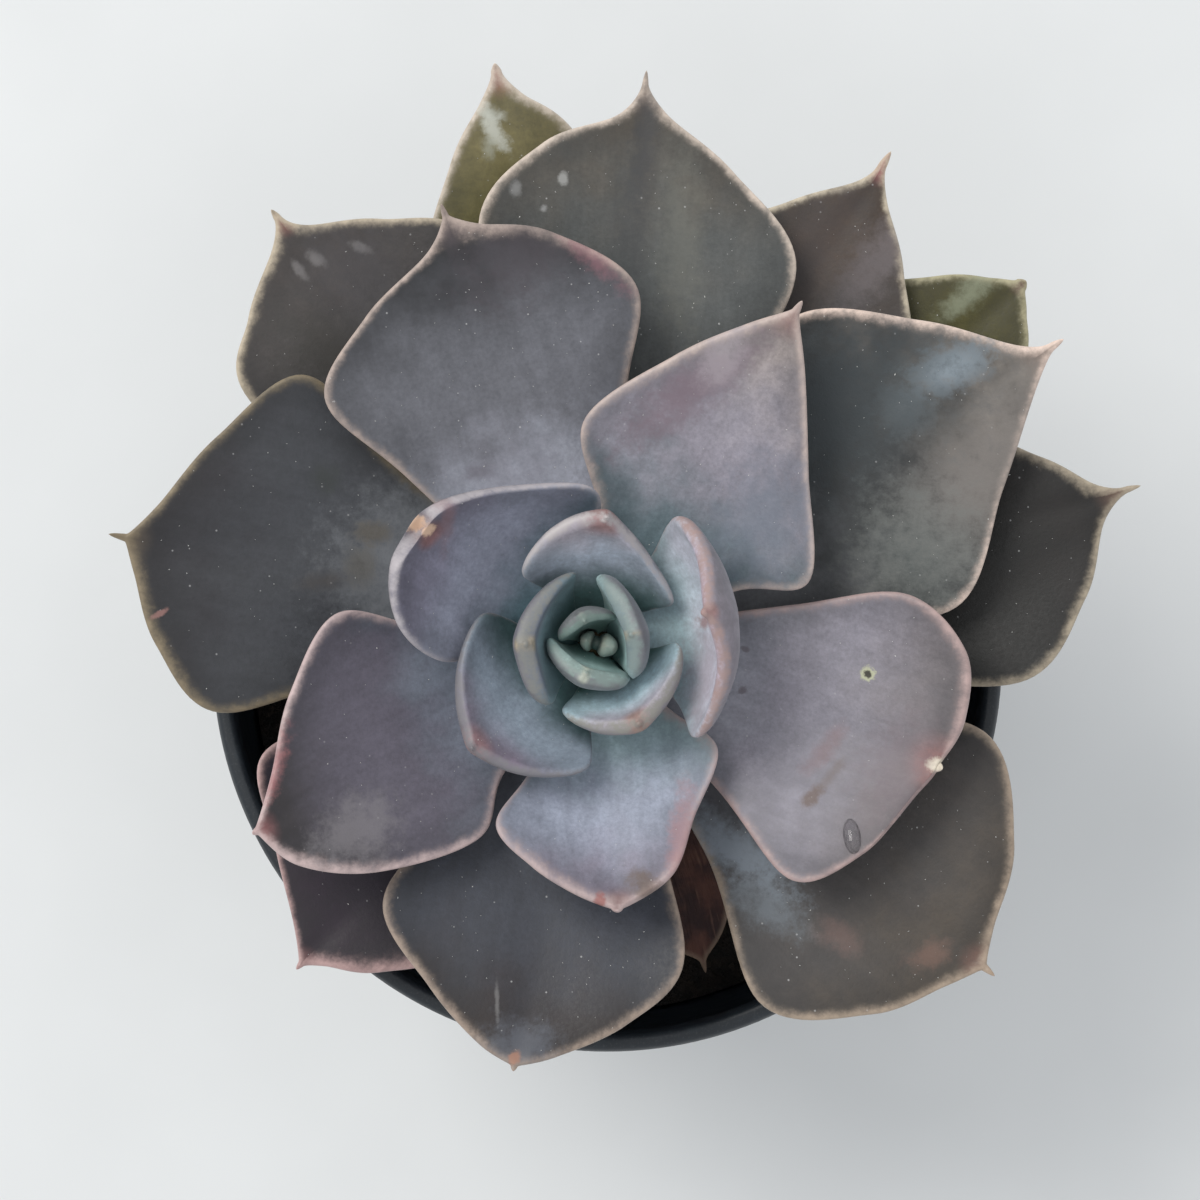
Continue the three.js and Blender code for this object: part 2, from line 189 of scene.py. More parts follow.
def addBump(tree, height, distance):
    inputs = {"Height": height, "Distance": distance * mm, "Strength": 1.0}
    return addNode(tree, "ShaderNodeBump", inputs).outputs["Normal"]


def dress(piece, finish):
    piece.data.materials.clear()
    piece.data.materials.append(finish)


def endTree(tree, shape, groupIn, groupOut):  # a Geometry Nodes tree ends in a plain mesh with its material
    shape = addNode(tree, "GeometryNodeRealizeInstances", {"Geometry": shape}).outputs[0]
    dressed = addNode(tree, "GeometryNodeSetMaterial", {"Geometry": shape, "Material": groupIn["Finish"]})
    tree.links.new(dressed.outputs[0], groupOut["Geometry"])


def growTree(piece, tree, values):  # runs a Geometry Nodes tree and keeps its plain mesh
    modifier = piece.modifiers.new(tree.name, "NODES")
    modifier.node_group = tree
    for item in tree.interface.items_tree:
        if item.in_out == "INPUT" and item.name in values:
            modifier[item.identifier] = values[item.name]
    return bake(piece)


floatKind, wholeKind, vectorKind = "NodeSocketFloat", "NodeSocketInt", "NodeSocketVector"
colourKind, geometryKind, materialKind = "NodeSocketColor", "NodeSocketGeometry", "NodeSocketMaterial"
geometryOut = [("Geometry", geometryKind)]


# One soft mark at one place of a leaf, in millimetres from its base and midrib: a stain, scuff or bloom, and on
# some leaves a painted sheen, highlight or shade
markTree, markIn, markOut = makeGroup("leafMark", "ShaderNodeTree", [
    ("Along", floatKind, 0), ("Aside", floatKind, 0), ("Grain", floatKind, 0.5),
    ("Place", vectorKind, (0, 0, 0)), ("Reach", vectorKind, (1, 1, 1)), ("Turn", floatKind, 0),
    ("Soft", floatKind, 0.5), ("Ragged", floatKind, 0.5), ("Strength", floatKind, 1)], [("Mask", floatKind)])
spot = addVector(markTree, "SUBTRACT", addPoint(markTree, markIn["Along"], markIn["Aside"]), markIn["Place"])
turned = addNode(markTree, "ShaderNodeVectorRotate", {"Vector": spot, "Angle": markIn["Turn"]},
                 rotation_type="Z_AXIS").outputs[0]
reached = addVector(markTree, "LENGTH", addVector(markTree, "DIVIDE", turned, markIn["Reach"]))
reached = addMath(markTree, "ADD", reached, addSwing(markTree, markIn["Grain"], 0.5, markIn["Ragged"]))
outer = addMath(markTree, "ADD", 1.0, markIn["Soft"])
inner = addMath(markTree, "SUBTRACT", 1.0, markIn["Soft"])
faded = addRange(markTree, reached, outer, inner)
markTree.links.new(addMath(markTree, "MULTIPLY", faded, markIn["Strength"]), markOut["Mask"])

# Waxy skin of a leaf: three tones from base to tip, painted shade towards a pale margin, a blush at the tip,
# and wax grains
waxSkin = {
    "cloudReach": 0.35,                                  # how far the clouds shift the tones, in leaf lengths
    "baseFade": (0.18, 0.55), "tipFade": (0.58, 0.98),   # where tones give way, in leaf lengths
    "underFade": (0.1, -0.5), "underShare": 0.75,
    "blushFade": (1.0, 0.25), "blushShare": 0.7, "blushDrift": 6.0,
    "specks": (0.86, 1.15), "clouds": (0.86, 1.14), "streaks": (0.9, 1.1), "rubs": (0.94, 1.07),  # light
    "streakStretch": 0.16, "streakScale": 0.55, "rubScale": 0.55,
    "dustScale": 0.9, "dustRarity": 0.72, "dustSize": 0.17, "dustCore": 0.4, "dustShare": 0.65,
    "dustTint": (205, 205, 205),
    "paintedShadeFrom": 6.5, "paintedShadeTo": 1.0, "paintedShadeDrift": 6.0, "dark": (1.07, 0.78),  # painted shade towards the margin, in mm
    "rimDrift": 0.6, "rubMiddle": 0.45, "rubDrift": 1.6,
    "rimFade": (1.5, -0.1), "rimPower": 1.6, "rimWorn": (0.6, 0.95),
    "roughness": (0.42, 0.6), "cloudRelief": 1.5, "dustRelief": 2.0,
}
skinTree, skinIn, skinOut = makeGroup("leafSkin", "ShaderNodeTree", [
    ("Place", vectorKind, (0, 0, 0)), ("Along", floatKind, 0), ("Aside", floatKind, 0), ("Rim", floatKind, 0),
    ("Upper", floatKind, 1), ("Grain", floatKind, 0.5), ("Cloud", floatKind, 0.5),
    ("Base", colourKind, screen(120, 130, 135)), ("Middle", colourKind, screen(110, 110, 115)),
    ("Tip", colourKind, screen(90, 85, 85)), ("Margin", colourKind, screen(190, 170, 160)),
    ("Blush", colourKind, screen(150, 100, 95)), ("Under", colourKind, screen(120, 118, 125)),
    ("Length", floatKind, 50), ("Band", floatKind, 1.4), ("Blush Reach", floatKind, 4),
    ("Dust", floatKind, 0.5)],
    [("Color", colourKind), ("Roughness", floatKind), ("Height", floatKind)])
cloudShift = addSwing(skinTree, skinIn["Cloud"], 0.5, waxSkin["cloudReach"])
share = addMath(skinTree, "ADD", addMath(skinTree, "DIVIDE", skinIn["Along"], skinIn["Length"]), cloudShift)
tone = addMix(skinTree, addRange(skinTree, share, *waxSkin["baseFade"]), skinIn["Base"], skinIn["Middle"])
tone = addMix(skinTree, addRange(skinTree, share, *waxSkin["tipFade"]), tone, skinIn["Tip"])
underShare = addRange(skinTree, skinIn["Upper"], *waxSkin["underFade"], 0.0, waxSkin["underShare"])
tone = addMix(skinTree, underShare, tone, skinIn["Under"])
fromTip = addMath(skinTree, "SUBTRACT", skinIn["Length"], skinIn["Along"])
fromTip = addVector(skinTree, "LENGTH", addPoint(skinTree, fromTip, skinIn["Aside"]))
fromTip = addMath(skinTree, "ADD", fromTip, addMath(skinTree, "MULTIPLY", cloudShift, waxSkin["blushDrift"]))
blushShare = addMath(skinTree, "DIVIDE", fromTip, skinIn["Blush Reach"])
blushShare = addRange(skinTree, blushShare, *waxSkin["blushFade"], 0.0, waxSkin["blushShare"])
tone = addMix(skinTree, blushShare, tone, skinIn["Blush"])
# fine specks and clouds, and faint lengthwise streaks where the wax has run and rubbed
streakPlace = addPoint(skinTree, addMath(skinTree, "MULTIPLY", skinIn["Along"], waxSkin["streakStretch"]),
                       skinIn["Aside"], skinIn["Length"])
streak = addNoise(skinTree, streakPlace, waxSkin["streakScale"], 4.0, 0.6)
rubbed = addNoise(skinTree, skinIn["Place"], waxSkin["rubScale"], 4.0, 0.65)
light = addRange(skinTree, skinIn["Grain"], 0.3, 0.7, *waxSkin["specks"], smooth=False)
for more in (addRange(skinTree, skinIn["Cloud"], 0.25, 0.75, *waxSkin["clouds"], smooth=False),
             addRange(skinTree, streak, 0.3, 0.7, *waxSkin["streaks"], smooth=False),
             addRange(skinTree, rubbed, 0.36, 0.68, *waxSkin["rubs"])):
    light = addMath(skinTree, "MULTIPLY", light, more)
tone = addShade(skinTree, tone, light)
dust = addNode(skinTree, "ShaderNodeTexVoronoi", {
    "Vector": skinIn["Place"], "Scale": waxSkin["dustScale"]}).outputs
dustSize = addNode(skinTree, "ShaderNodeSeparateColor", {0: dust["Color"]}).outputs[0]
dustSize = addRange(skinTree, dustSize, waxSkin["dustRarity"], 1.0, 0.0, waxSkin["dustSize"])
dustCore = addMath(skinTree, "MULTIPLY", dustSize, waxSkin["dustCore"])
dustMask = addMath(skinTree, "MULTIPLY", addRange(skinTree, dust["Distance"], dustSize, dustCore),
                   addMath(skinTree, "MULTIPLY", skinIn["Dust"], waxSkin["dustShare"]))
tone = addMix(skinTree, dustMask, tone, screen(*waxSkin["dustTint"]))
# painted shade darkens the skin towards the margin, which is pale and brightest at the very edge
fromRim = addSwing(skinTree, skinIn["Cloud"], 0.5, waxSkin["paintedShadeDrift"])
fromRim = addMath(skinTree, "ADD", skinIn["Rim"], fromRim)
paintedRimShade = addRange(skinTree, fromRim, waxSkin["paintedShadeFrom"], waxSkin["paintedShadeTo"], *waxSkin["dark"])
tone = addShade(skinTree, tone, paintedRimShade)
rimShift = addMath(skinTree, "ADD", addSwing(skinTree, skinIn["Grain"], 0.5, waxSkin["rimDrift"]),
                   addSwing(skinTree, rubbed, waxSkin["rubMiddle"], waxSkin["rubDrift"]))
rimShare = addMath(skinTree, "DIVIDE", addMath(skinTree, "ADD", skinIn["Rim"], rimShift), skinIn["Band"])
rimMask = addMath(skinTree, "POWER", addRange(skinTree, rimShare, *waxSkin["rimFade"]), waxSkin["rimPower"])
rimMask = addMath(skinTree, "MULTIPLY", rimMask, addRange(skinTree, streak, 0.25, 0.55, *waxSkin["rimWorn"]))
skinTree.links.new(addMix(skinTree, rimMask, tone, skinIn["Margin"]), skinOut["Color"])
waxed = addRange(skinTree, skinIn["Grain"], 0.3, 0.7, *waxSkin["roughness"], smooth=False)
skinTree.links.new(waxed, skinOut["Roughness"])
relief = addMath(skinTree, "MULTIPLY", skinIn["Cloud"], waxSkin["cloudRelief"])
relief = addMath(skinTree, "ADD", skinIn["Grain"], relief)
relief = addMath(skinTree, "ADD", relief, addMath(skinTree, "MULTIPLY", dustMask, waxSkin["dustRelief"]))
skinTree.links.new(relief, skinOut["Height"])
print("frame loaded, skin groups made")


def leafMaterial(name, row):
    material, tree, skin = makeMaterial(name)
    place = objectPlace(tree)
    along, aside, rim, upper = (addAttribute(tree, label) for label in leafLabels)
    grain = addNoise(tree, place, leafLook["grainScale"], 4.0, 0.66)
    cloud = addNoise(tree, place, leafLook["cloudScale"], 3.0, 0.55)
    patchy = addNoise(tree, place, leafLook["patchScale"], 4.0, 0.72)
    look = {**leafLook, **row}
    toned = ("base", "middle", "tip", "margin", "blush", "under")
    tints = {label.capitalize(): screen(*look[label]) for label in toned}
    found = placeGroup(tree, skinTree, {
        "Place": place, "Along": along, "Aside": aside, "Rim": rim, "Upper": upper, "Grain": grain,
        "Cloud": cloud, "Length": look["length"], "Band": look["band"], "Blush Reach": look["blushReach"],
        "Dust": look["dust"], **tints})
    colour = found["Color"]
    for tint, atAlong, atAside, reachAlong, reachAside, turn, soft, strength in row.get("marks", []):
        crisp = soft < leafLook["crispBelow"]
        mask = placeGroup(tree, markTree, {
            "Along": along, "Aside": aside, "Grain": grain if crisp else patchy,
            "Place": (atAlong, atAside, 0),
            "Reach": (reachAlong, reachAside, 1), "Turn": math.radians(-turn), "Soft": soft,
            "Ragged": leafLook["crispRagged" if crisp else "softRagged"], "Strength": strength})["Mask"]
        colour = addMix(tree, mask, colour, screen(*tint))
    tree.links.new(colour, skin.inputs["Base Color"])
    tree.links.new(found["Roughness"], skin.inputs["Roughness"])
    tree.links.new(addBump(tree, found["Height"], leafLook["relief"]), skin.inputs["Normal"])
    skin.inputs["Sheen Weight"].default_value = leafLook["sheen"]
    skin.inputs["Sheen Roughness"].default_value = leafLook["sheenRoughness"]
    return material


# Leaves, youngest first. Lengths are in mm and angles in degrees.
# azimuth and tilt: where the leaf points, and how steep it is at the claw and at the tip.
# claw: half the width at the root. body, edge and top: thickness at the midrib and at the margins, and
# the share of it above the middle surface. lift: how far each margin turns up. sway: how far the tip
# bends aside.
# left and right: the margins as (along, across). spur: length, radius and rise of the point at the tip.
# marks: colour, along, aside, reach along, reach aside, turn, softness and strength.
leafRows = [
    dict(azimuth=118, length=8.6, tilt=(48, 112), claw=1.8, body=2.2, edge=1.4, top=0.5, lift=(1, 2),
         left=((2.5, 3), (5.2, 3.9), (7.6, 3)), right=((2.5, 2.9), (5, 3.8), (7.4, 3)), spur=(0.2, 0.25, 0),
         base=(85, 112, 106), middle=(105, 134, 130), tip=(120, 142, 136), margin=(112, 130, 124),
         blush=(150, 160, 150), band=0.3, blushReach=0.7, dust=0.2),
    dict(azimuth=250, length=10, tilt=(48, 112), claw=2.4, body=2.8, edge=1.9, top=0.6, lift=(1.4, 2.6),
         left=((2.4, 4), (5.2, 5.4), (8.4, 4.6)), right=((2.4, 4.2), (5.4, 5.8), (8.6, 5)),
         spur=(0.2, 0.35, 0),
         base=(92, 124, 120), middle=(150, 178, 176), tip=(150, 172, 168), margin=(124, 140, 136),
         blush=(190, 196, 180), band=0.35, blushReach=1, dust=0.2),
    dict(azimuth=15, length=12, tilt=(50, 114), claw=2.6, body=3.2, edge=2.3, top=0.6, lift=(2.4, 1.8),
         left=((2.8, 5.2), (6.6, 8), (10.2, 6.8)), right=((2.8, 4.2), (6.2, 5.4), (10, 4.6)),
         spur=(0.3, 0.4, 0.1),
         base=(112, 146, 144), middle=(174, 204, 204), tip=(118, 134, 138), margin=(126, 140, 138),
         blush=(178, 172, 152), band=0.4, blushReach=1.1, dust=0.2),
    dict(azimuth=180, length=15, tilt=(38, 98), claw=2.8, body=3.3, edge=2.3, top=0.6, lift=(2.2, 5.2),
         left=((4, 5.4), (9, 7.6), (12.8, 6.4)), right=((3.8, 6.6), (8.6, 8.8), (12.8, 7)),
         spur=(0.3, 0.45, 0.1),
         base=(84, 116, 116), middle=(112, 138, 145), tip=(110, 118, 134), margin=(124, 125, 122),
         blush=(178, 164, 136), band=0.5, blushReach=1.6, dust=0.25),
    dict(azimuth=298, length=13.4, tilt=(40, 74), claw=3.2, body=3.2, edge=2.1, top=0.5, lift=(4, 3.4),
         left=((3.2, 6.4), (7.2, 9), (11, 7.4)), right=((3.4, 5.6), (7.6, 7.8), (11.2, 5.8)),
         spur=(0.5, 0.5, 0.2),
         base=(72, 110, 105), middle=(178, 204, 214), tip=(170, 162, 174), margin=(138, 136, 130),
         blush=(162, 124, 104), band=0.5, blushReach=2.6, dust=0.2),
    dict(azimuth=85.5, length=18, tilt=(34, 68), claw=3.4, body=3.2, edge=2, top=0.45, lift=(4.6, 4.6),
         left=((4.2, 6.6), (10.4, 9.9), (15.6, 8), (17.8, 3.6)),
         right=((3.2, 7), (6.8, 9.2), (10.6, 6.2), (14.4, 2.6)), spur=(0.5, 0.45, 0.2),
         base=(84, 114, 114), middle=(174, 184, 198), tip=(176, 168, 178), margin=(178, 172, 172),
         blush=(152, 104, 96), band=0.55, dust=0.25),
    dict(azimuth=13, length=28.4, tilt=(12, 126), claw=3.6, body=3, edge=2, top=0.45, lift=(2.6, 6.2),
         sway=0.8, left=((6, 9), (13, 12.4), (20.4, 11.4)), right=((5, 9), (12.4, 14.2), (21.4, 12)),
         spur=(0.5, 0.6, 0.1),
         base=(168, 192, 198), middle=(198, 200, 212), tip=(192, 178, 196), margin=(158, 134, 130),
         blush=(160, 116, 108), band=0.6, blushReach=2, dust=0.25,
         marks=[((158, 110, 100), 14.6, -0.6, 3, 0.9, 0, 0.6, 0.7),
                ((160, 140, 150), 13, -7, 5, 5, 0, 0.8, 0.5)]),
    dict(azimuth=220, length=20, tilt=(24, 60), claw=3.6, body=3.1, edge=1.9, top=0.4, lift=(4.8, 5.6),
         left=((4.6, 8), (11, 11.3), (16.4, 8)), right=((4, 9.4), (9, 12), (15.4, 8.6)), spur=(0.5, 0.4, 0.2),
         base=(68, 94, 96), middle=(138, 150, 164), tip=(124, 112, 128), margin=(122, 120, 124),
         blush=(164, 124, 124), band=0.6, blushReach=3.4, dust=0.25),
    dict(azimuth=147, length=25.4, tilt=(20, 55), claw=3.6, body=2.9, edge=1.7, top=0.35, lift=(4.4, 6.4),
         left=((8, 8.8), (15, 12.5), (24, 11.6), (28, 5.6)),
         right=((6, 13.4), (11.6, 15.9), (18.4, 11.6), (25.8, 4.2)), spur=(0.5, 0.8, 0.4),
         base=(88, 114, 124), middle=(136, 140, 156), tip=(110, 108, 124), margin=(174, 168, 172),
         blush=(142, 96, 90), band=0.8, blushReach=2.4, dust=0.35,
         marks=[((142, 98, 94), 24.2, -2.6, 3.4, 1, -52, 0.9, 0.35),
                ((216, 184, 158), 26.6, -0.2, 1.3, 0.9, 20, 0.4, 0.9)]),
    dict(azimuth=274.5, length=30.8, tilt=(18, 34), claw=3.8, body=2.4, edge=1.3, lift=(3.4, 4.4),
         left=((5.6, 9), (11.8, 14.2), (20, 10.6), (27.4, 7.2)),
         right=((12, 9.4), (20.2, 14.3), (25.4, 10.4), (28.8, 5.2)), spur=(0.6, 0.75, 0.3),
         base=(150, 172, 178), middle=(142, 148, 164), tip=(120, 112, 126), margin=(184, 164, 162),
         blush=(150, 112, 104), band=1.2, blushReach=3, dust=0.3,
         marks=[((96, 78, 66), 28.2, 3.6, 2.2, 1.6, 30, 0.7, 0.75),
                ((160, 118, 120), 22.4, 8.6, 6, 1.4, -10, 0.7, 0.6),
                ((150, 92, 86), 29.9, -2.2, 0.9, 0.7, 0, 0.5, 0.8)]),
    dict(azimuth=59, length=45.5, tilt=(14, 24), claw=4, body=2.4, edge=1.2, lift=(3, 4.6),
         left=((10.2, 8.4), (20, 15.8), (32.8, 10.2), (40.8, 4.4)),
         right=((11, 12), (17.6, 19), (28.8, 11.9), (39.2, 5)), spur=(1.6, 0.5, 0.6),
         base=(98, 116, 123), middle=(134, 130, 140), tip=(147, 137, 134), margin=(196, 178, 170),
         blush=(142, 104, 98), band=1.2, blushReach=5, dust=0.4,
         marks=[((117, 100, 110), 29.5, 6.2, 9, 2.6, -22, 0.8, 0.75),
                # next mark: a painted highlight, a light pinkish patch
                ((170, 162, 168), 35.8, 5, 4, 2, 0, 0.7, 0.5),
                ((108, 116, 130), 20, -10, 7, 5, 0, 0.9, 0.6)]),
    dict(azimuth=209, length=45.6, tilt=(13, 24), claw=4, body=2.4, edge=1.3, lift=(2.6, 6),
         left=((14.2, 8.8), (21.6, 14.5), (35, 11.9), (43, 6.4)),
         right=((14, 12), (24.6, 19), (34, 13.2), (40.4, 5.4)), spur=(0.7, 0.45, 0.4),
         base=(124, 134, 148), middle=(84, 80, 92), tip=(42, 38, 41), margin=(200, 178, 176),
         blush=(152, 98, 98), blushReach=3.6, dust=0.25,
         marks=[((160, 102, 104), 41.2, -5.4, 4.5, 1.4, 40, 0.7, 0.7),
                ((126, 122, 126), 34.4, 6, 5, 3.4, 0, 0.7, 0.5)]),
    dict(azimuth=340, length=42, tilt=(12, 20), claw=4.2, body=2.5, edge=1.2, lift=(3, 3.6),
         left=((18, 13), (31.6, 19.1), (41, 14.9), (43.5, 6.6)),
         right=((17, 12.4), (30.4, 19.7), (37.4, 13.6), (39.8, 5.8)), spur=(0.8, 0.7, 0.5),
         base=(140, 142, 152), middle=(128, 125, 135), tip=(104, 98, 101), margin=(182, 157, 153),
         blush=(150, 98, 90), band=1.2, blushReach=5, dust=0.3,
         marks=[((126, 94, 94), 27.7, -2.9, 3.2, 1.1, 68, 0.8, 0.42),
                ((96, 74, 60), 28.5, -8.8, 1.7, 0.8, 70, 0.6, 0.7),
                ((104, 90, 84), 29.6, -6, 2.6, 0.6, 72, 0.8, 0.5),
                ((178, 180, 150), 29.7, 8, 0.95, 0.95, 0, 0.25, 0.9),
                ((48, 46, 34), 29.7, 8, 0.5, 0.5, 0, 0.3, 1),
                ((228, 218, 198), 42, 0.2, 1.3, 0.9, 40, 0.4, 0.95),
                ((84, 74, 80), 13.6, 5.6, 0.6, 0.35, 0, 0.5, 0.6),
                ((84, 74, 80), 15, 0.6, 0.5, 0.4, 30, 0.5, 0.6),
                ((112, 98, 104), 38, -2, 4, 6, 0, 0.8, 0.5)]),
    dict(azimuth=109.5, length=53.4, tilt=(10, 20), claw=4.2, body=2.6, edge=1.1, lift=(3, 3),
         left=((24, 15.8), (37.2, 22.1), (45, 13.8), (49.6, 4)),
         right=((24, 13.8), (37.6, 19.8), (47.4, 11.9), (51.2, 3.6)), spur=(1.8, 0.42, 0.8),
         base=(184, 188, 202), middle=(98, 99, 106), tip=(20, 20, 22), margin=(186, 168, 158),
         blush=(104, 92, 94), band=1.2, blushReach=5, dust=0.8,
         marks=[((70, 62, 68), 46, -7, 5, 7, 20, 0.9, 0.5),
                ((154, 104, 114), 46.6, -14.2, 8.5, 1.3, 24, 0.8, 0.45),
                ((86, 80, 88), 20.9, 7, 1.6, 0.9, 70, 0.7, 0.55),
                # next mark: a painted highlight on the bright lavender base
                ((150, 148, 160), 15, 3, 8, 7, 0, 0.9, 0.4)]),
    dict(azimuth=259, length=50.6, tilt=(8, 16), claw=4.4, body=2.6, lift=(2.4, 2.6),
         left=((21, 13.8), (34.6, 18.7), (43.2, 13), (48.6, 5)),
         right=((21, 14.6), (34, 20.4), (43.2, 12.5), (48.8, 5)), spur=(0.7, 0.45, 0.3),
         base=(92, 96, 104), middle=(58, 61, 70), tip=(36, 28, 27), margin=(164, 146, 132),
         blush=(110, 104, 102), blushReach=3, dust=0.7,
         marks=[((96, 100, 110), 47.6, 0.4, 2.6, 4, 0, 0.8, 0.6),
                ((168, 120, 96), 49.6, -0.2, 0.9, 0.6, 0, 0.5, 0.7),
                ((130, 128, 128), 43, -3.7, 2.2, 0.25, 12, 0.7, 0.5)]),
    dict(azimuth=33, length=64.9, tilt=(8, 14), claw=4.4, body=2.6, lift=(2.4, 2.4),
         left=((23, 14.6), (40, 21.1), (53, 11.8), (61, 2.7)),
         right=((22, 14), (37.4, 21.3), (50, 11.9), (60, 3.6)), spur=(1.5, 0.5, 0.6),
         base=(106, 108, 112), middle=(40, 42, 43), tip=(114, 108, 102), margin=(240, 216, 202),
         blush=(128, 108, 98), band=1.2, blushReach=6, dust=0.6,
         # the first two marks are painted sheen, the sky's reflection on patches of wax bloom; the third is
         # painted light on the right side and the fourth painted shade on the left side
         marks=[((140, 153, 163), 52.4, 4.6, 4.6, 2.4, -8, 0.7, 0.85),
                ((118, 128, 134), 45.1, 3.9, 3.2, 3, 0, 0.8, 0.45),
                ((118, 112, 108), 49, -9, 14, 6.5, 14, 0.9, 0.75),
                ((54, 62, 66), 38, 8, 15, 8, -4, 0.9, 0.7), ((98, 106, 104), 36, -13, 7, 7, 0, 0.9, 0.5)]),
    dict(azimuth=167.5, length=57.2, tilt=(8, 13), claw=4.4, body=2.6, lift=(2.2, 2.6),
         left=((25, 11.6), (41.6, 19.3), (50.8, 12.6), (55.2, 4.4)),
         right=((25, 16), (39.8, 25.3), (49, 15.1), (54.2, 5)), spur=(2.2, 0.5, 0.5),
         base=(94, 99, 104), middle=(58, 60, 65), tip=(33, 31, 35), margin=(134, 120, 96),
         blush=(96, 84, 70), band=1.4,
         marks=[((124, 127, 132), 19, -4, 9, 8, 0, 0.9, 0.65),
                ((88, 80, 66), 26.5, -7.4, 2.4, 1.3, 10, 0.6, 0.6),
                ((80, 74, 62), 27, -3, 1.8, 2.2, 30, 0.7, 0.5),
                ((62, 56, 52), 31.3, 0, 2.4, 1, 20, 0.9, 0.6),
                ((50, 54, 52), 33.9, -12.8, 1.6, 1.6, 40, 0.8, 0.7),
                ((150, 110, 104), 50.8, 8.4, 1, 0.35, 40, 0.5, 0.7),
                ((186, 160, 136), 44, 24, 12, 2, 0, 0.7, 0.35)]),
    dict(azimuth=320, length=60.4, tilt=(6, 12), claw=4.6, body=2.6, lift=(2.2, 2.2),
         left=((25, 14.6), (42, 23.2), (53.6, 14.5), (58.2, 4.6)),
         right=((24, 12), (42, 22.1), (53.6, 13.9), (58.2, 5.2)), spur=(1.7, 0.5, 1.4),
         base=(96, 97, 103), middle=(60, 57, 57), tip=(64, 56, 48), margin=(170, 152, 134),
         blush=(130, 96, 84), dust=0.75,
         # the first two marks are a painted bluish-white sheen streak
         marks=[((128, 138, 149), 26.5, -9, 7, 2.4, 4, 0.8, 0.85),
                ((112, 120, 128), 34, -12, 4.5, 2.2, 10, 0.9, 0.7),
                ((110, 86, 80), 43.6, -9, 2.6, 1.6, 10, 0.9, 0.55),
                ((120, 88, 76), 54, -3.2, 2.2, 1.4, 60, 0.9, 0.5)]),
    dict(azimuth=85, length=67.4, tilt=(7, 11), claw=4.6, body=2.6, lift=(2, 2),
         left=((29, 14), (48.6, 19.8), (59, 12.5), (63.2, 3.2)),
         right=((29, 15.4), (46.4, 21.4), (57.4, 12.3), (63.6, 3.4)), spur=(1.6, 0.4, 0.6),
         base=(91, 96, 96), middle=(81, 84, 84), tip=(77, 71, 63), margin=(214, 198, 184),
         blush=(120, 100, 92), band=1.2, blushReach=5, dust=0.8,
         marks=[((56, 56, 58), 58.5, -0.6, 9, 1.4, 0, 0.9, 0.75),
                ((66, 68, 70), 47, 0.4, 9, 1.8, 4, 0.9, 0.55),
                ((112, 112, 104), 47, -6.4, 10, 2.4, 4, 0.9, 0.5),
                ((178, 178, 176), 54.5, 9.5, 0.7, 0.5, 0, 0.6, 0.6),
                ((160, 160, 160), 52.6, 15.4, 0.9, 0.6, 0, 0.8, 0.5),
                ((172, 172, 172), 50.3, 11.7, 0.45, 0.4, 0, 0.6, 0.6)]),
    dict(azimuth=227.5, length=52, tilt=(8, 11), claw=4.6, body=2.6, lift=(2, 3),
         left=((20, 11), (36, 14.6), (46.2, 8.2), (50.2, 2.4)),
         right=((20, 14.2), (35.6, 22), (43, 13.2), (48.6, 4.6)), spur=(0.8, 0.4, 0.4),
         base=(40, 38, 44), middle=(45, 39, 49), tip=(33, 22, 34), margin=(188, 156, 153),
         blush=(120, 84, 84), under=(132, 104, 108), blushReach=3, dust=0.4),
    dict(azimuth=16, length=66.8, tilt=(7, 10), claw=4.6, body=2.6, lift=(1.8, 2),
         left=((26, 11), (45, 15), (57.4, 7.2), (63, 1.8)),
         right=((26, 13.4), (47.4, 20.2), (58, 12.1), (62.8, 3.3)), spur=(1.6, 0.42, 0.6),
         base=(26, 25, 24), middle=(18, 18, 16), tip=(22, 17, 15), margin=(175, 162, 142),
         blush=(120, 94, 80), band=1.2, blushReach=5, dust=0.6),
    dict(azimuth=127, length=64.2, tilt=(6, 10), claw=4.8, body=2.6, lift=(1.8, 1.8),
         left=((25, 11.6), (48.4, 17.2), (56.4, 10.8), (61.4, 3)),
         right=((25, 12), (47, 19), (56.4, 10.5), (61.2, 2.5)), spur=(1.2, 0.5, 0.8),
         base=(90, 90, 88), middle=(76, 74, 74), tip=(62, 56, 54), margin=(192, 178, 156),
         blush=(150, 102, 92), band=1.2, blushReach=3.4,
         marks=[((54, 52, 48), 46.5, 5.6, 6, 5, 30, 0.9, 0.7),
                ((150, 146, 146), 54.8, -6.2, 1.3, 0.6, 30, 0.7, 0.5),
                ((146, 142, 142), 56.8, -0.7, 1.2, 0.7, 20, 0.7, 0.5),
                ((142, 138, 138), 57.1, 1.8, 1.3, 0.5, 0, 0.7, 0.45),
                ((70, 68, 72), 52, -4, 6, 5, 0, 0.9, 0.5)]),
    dict(azimuth=59, length=67.7, tilt=(7, 9), claw=4.8, body=2.6, lift=(1.6, 1.6),
         left=((25, 11), (45, 16.4), (57.6, 8), (64, 1.9)),
         right=((25, 11), (45, 17), (57.4, 9.5), (63.8, 3)), spur=(1.8, 0.55, 0.6),
         base=(92, 90, 88), middle=(77, 74, 74), tip=(66, 51, 39), margin=(212, 199, 176),
         blush=(184, 112, 114), band=1, blushReach=3.4, dust=0.6,
         marks=[((118, 110, 112), 57, -6, 6, 2.6, -6, 0.9, 0.6), ((62, 54, 54), 55, 2, 8, 3.4, 0, 0.9, 0.5)]),
    dict(azimuth=100, length=70.7, tilt=(6, 8), claw=4.8, body=2.6, lift=(1.6, 1.6),
